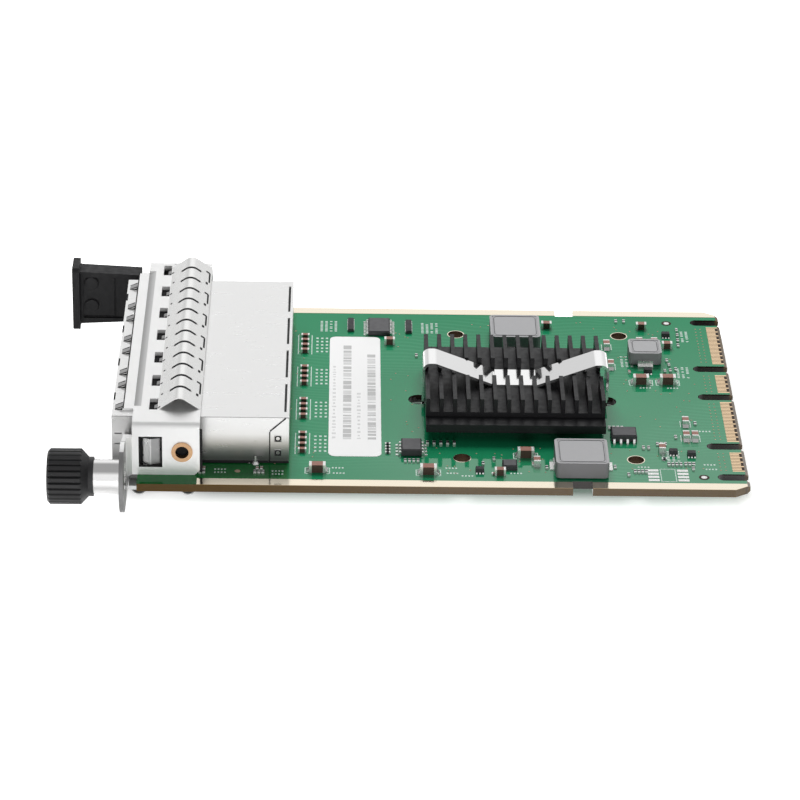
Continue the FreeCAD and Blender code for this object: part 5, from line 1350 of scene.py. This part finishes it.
@dataclass
class PowerAndChips(Assembly):
    """Inductors, chips with leads and the larger capacitors."""

    rim_line: float = 0.14
    rim_inset: float = 0.75
    rim_corner: float = 0.9
    rim_height: float = 0.03
    inductors: ClassVar[tuple[str, ...]] = ("inductor_near", "inductor_far", "inductor_small")
    coats = (
        (CORE, inductors), (CHIP_GREY, ("flash_chip", "monitor_chip", "controller_chip", "regulator_chip")),
        (SOLDER, ("inductor_terminals", "chip_leads", "capacitor_ends")), (CERAMIC, ("capacitor_bodies",)),
    )

    def build(self) -> None:
        """Add a dark line of painted shade in the groove round each inductor's top."""
        rims = [self.rim(*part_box(node)) for node in self.inductors]
        add_piece(Bench.join("inductor_rims", rims), INDUCTOR_GROOVE_SHADE)

    def rim(self, low: Vector, high: Vector) -> Thing:
        """A thin raised line of painted shade, inset from the edges of a box's top.

        Args:
            low: the box's lowest corner in metres.
            high: its highest corner.

        Returns:
            The line as a flat frame.
        """
        Bench.clear()
        middle = (Vector(low) + Vector(high)) / 2
        side = high[0] - low[0] - 2 * self.rim_inset * MM
        bpy.ops.mesh.primitive_plane_add(size=side, location=(middle.x, middle.y, high[2] + 0.005 * MM))
        line = Bench.settle("rim")
        with Bench.faces(line, every):
            bpy.ops.mesh.bevel(offset=self.rim_corner * MM, segments=4, affect="VERTICES")
            bpy.ops.mesh.select_all(action="SELECT")
            bpy.ops.mesh.inset(thickness=self.rim_line * MM)
            bpy.ops.mesh.delete(type="FACE")
        return Bench.thicken(line, self.rim_height)


@dataclass
class Studio:
    """Pale floor, soft lamps and the camera.

    Attributes:
        elevation: camera height above the horizon in degrees.
        swing: camera turn about the upright in degrees.
        roll: camera roll in degrees.
        distance: from the camera to its target in millimetres.
        target: the point looked at, from the port end and the middle line, in millimetres.
        lens: focal length in millimetres.
        sensor: the sensor's width in millimetres.
        floor_size: the floor's width in millimetres.
        floor_grey: its grey.
        floor_rough: its roughness.
        open_lift: the floor's own brightness in the open.
        near_lift: the same under the board.
        mirror_lift: the same in reflections.
        shadow_reach: distance from the board, in millimetres, over which the floor brightens.
        under_edge: how far the shade stays back from the board's near edge.
        ambient: strength of the even light.
        overhead: strength of the reflected world straight above.
        zenith: heights between which it falls to that.
        sides: brightness of the reflected world along X, from 0 at the port end's side to 1.
        lamps: name, place and aim in metres, size in metres and power in watts.
    """

    elevation: float = 27.2564
    swing: float = -1.0778
    roll: float = 1.1104
    distance: float = 722.168
    target: Place = (49.5487, -2.7199)
    lens: float = 166.457
    sensor: float = 36.0
    floor_size: float = 6000.0
    floor_grey: float = 0.9
    floor_rough: float = 0.9
    open_lift: float = 0.95
    near_lift: float = 0.1
    mirror_lift: float = 0.5
    shadow_reach: float = 6.0
    under_edge: float = 11.0
    ambient: float = 0.2
    overhead: float = 0.4
    zenith: Place = (0.62, 0.86)
    sides: tuple[Place, ...] = (
        (0.12, 0.4), (0.27, 0.82), (0.34, 0.68), (0.38, 0.7), (0.43, 0.95), (0.47, 1.0), (0.56, 1.0),
        (0.68, 0.78), (0.8, 0.84),
    )
    lamps: tuple[tuple[str, Triple, Triple, float, float], ...] = (
        ("key_lamp", (-0.05, 0.6, 0.7), (-0.06, 0.0, 0.0), 0.5, 8.1),
        ("side_lamp", (0.75, 0.0, 0.4), (-0.05, 0.0, 0.0), 0.5, 1.0),
        ("front_lamp", (-0.06, -0.9, 0.1), (-0.06, 0.0, 0.0), 0.25, 3.5),
    )

    def build(self) -> None:
        """Build the studio."""
        self.floor()
        self.world()
        for lamp in self.lamps:
            self.lamp(*lamp)
        self.camera()

    def floor(self) -> None:
        """A pale floor that the camera sees as white, with the object's shadow on it."""
        Bench.clear()
        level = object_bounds()[0][2]
        bpy.ops.mesh.primitive_plane_add(size=self.floor_size * MM, location=(0.0, 0.0, level))
        plane = Bench.settle("floor")
        pale = bpy.data.materials.new("floor_pale")
        pale.use_nodes = True
        graph = Graph(pale.node_tree)
        ends = (0.0, self.shadow_reach * MM)
        lift = graph.span(self.from_board(graph), ends, self.near_lift, self.open_lift)
        camera, mirrored, glossy = self.rays(graph)
        lift = graph.mix(glossy, lift, self.mirror_lift, "FLOAT")
        graph.fill(graph.nodes["Principled BSDF"], {
            "Base Color": grey(self.floor_grey), "Roughness": self.floor_rough, "Emission Color": grey(1.0),
            "Emission Strength": graph.maths("MULTIPLY", graph.maths("MAXIMUM", camera, mirrored), lift),
        })
        plane.data.materials.append(pale)
        plane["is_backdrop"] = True

    def from_board(self, graph: Graph) -> Socket:
        """Distance on the floor from the board's outline, with its near edge moved in."""
        low, high = (Vector(corner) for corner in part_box("circuit_board"))
        low.y += self.under_edge * MM
        middle, reach = (low + high) / 2, (high - low) / 2
        away = graph.where()
        for operation, value in (("SUBTRACT", (middle.x, middle.y, 0.0)), ("ABSOLUTE", None),
                                 ("SUBTRACT", (reach.x, reach.y, 1.0)), ("MAXIMUM", (0.0, 0.0, 0.0))):
            step = graph.add("VectorMath", operation=operation)
            graph.feed(step.inputs[0], away)
            if value:
                graph.feed(step.inputs[1], value)
            away = step.outputs["Vector"]
        outside = graph.add("VectorMath", operation="LENGTH")
        graph.feed(outside.inputs[0], away)
        return outside.outputs["Value"]

    @staticmethod
    def rays(graph: Graph) -> tuple[Socket, Socket, Socket]:
        """Masks of the camera's own rays, of those mirrored or through glass, and of the mirrored alone."""
        path = graph.add("LightPath").outputs
        mirrored = graph.maths("MAXIMUM", path["Is Glossy Ray"], path["Is Transmission Ray"])
        return path["Is Camera Ray"], mirrored, path["Is Glossy Ray"]

    def world(self) -> None:
        """White to the camera and in reflections, darker to the left, and a low even light on the object."""
        sky = bpy.data.worlds.new("studio")
        bpy.context.scene.world = sky
        sky.use_nodes = True
        graph = Graph(sky.node_tree)
        graph.nodes.clear()
        ramp = graph.add("ValToRGB", {"Fac": graph.span(graph.part("X", "Generated"), (-1.0, 1.0))})
        stops = ramp.color_ramp.elements
        for index, (place, level) in enumerate(self.sides):
            stop = stops[index] if index < len(stops) else stops.new(place)
            stop.position = place
            stop.color = (*grey(level), 1.0)
        strength = graph.span(graph.part("Z", "Generated"), self.zenith, 1.0, self.overhead)
        shiny = graph.add("Background", {"Color": ramp.outputs["Color"], "Strength": strength})
        plain = graph.add("Background", {"Strength": self.ambient})
        camera, mirrored, _ = self.rays(graph)
        light = plain.outputs["Background"]
        for share, other in ((mirrored, shiny), (camera, graph.add("Background"))):
            mixed = graph.add("MixShader", {"Fac": share})
            graph.feed(mixed.inputs[1], light)
            graph.feed(mixed.inputs[2], other.outputs["Background"])
            light = mixed.outputs["Shader"]
        graph.add("OutputWorld", {"Surface": light})

    @staticmethod
    def lamp(name: str, place: Triple, aim: Triple, size: float, power: float) -> None:
        """Add a square soft lamp that looks at a point; places and size are in metres, power in watts."""
        bulb = bpy.data.lights.new(name, "AREA")
        bulb.size = size
        bulb.energy = power
        holder = bpy.data.objects.new(name, bulb)
        holder.location = place
        holder.rotation_euler = (Vector(aim) - Vector(place)).to_track_quat("-Z", "Y").to_euler()
        holder.visible_glossy = False
        bpy.context.scene.collection.objects.link(holder)

    def camera(self) -> None:
        """Set the camera at the photograph's angle."""
        tilt, turn, lean = (math.radians(angle) for angle in (self.elevation, self.swing, self.roll))
        back = Vector((math.sin(turn) * math.cos(tilt), -math.cos(turn) * math.cos(tilt), math.sin(tilt)))
        right = Vector((math.cos(turn), math.sin(turn), 0.0))
        up = back.cross(right)
        right, up = math.cos(lean) * right + math.sin(lean) * up, math.cos(lean) * up - math.sin(lean) * right
        lens = bpy.data.cameras.new("camera")
        lens.lens = self.lens
        lens.sensor_width = self.sensor
        lens.clip_start = 0.01
        holder = bpy.data.objects.new("camera", lens)
        turned = Matrix((right, up, back)).transposed().to_4x4()
        holder.matrix_world = Matrix.Translation(spot(*self.target) + back * self.distance * MM) @ turned
        bpy.context.scene.collection.objects.link(holder)
        bpy.context.scene.camera = holder


def main() -> None:
    """Build and dress the sub-assemblies in order, then the studio."""
    bpy.context.scene.view_settings.view_transform = "Standard"
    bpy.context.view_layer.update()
    Effects.build()
    assemblies = (BoardPrint(), Jack(), Bracket(), Thumbscrew(), PullTab(), Cooler(), PowerAndChips(),
                  TinyParts(), SolderJoints())
    for assembly in assemblies:
        assembly.dress()
    for assembly in assemblies:
        assembly.build()
    Studio().build()


if __name__ == "__main__":
    main()
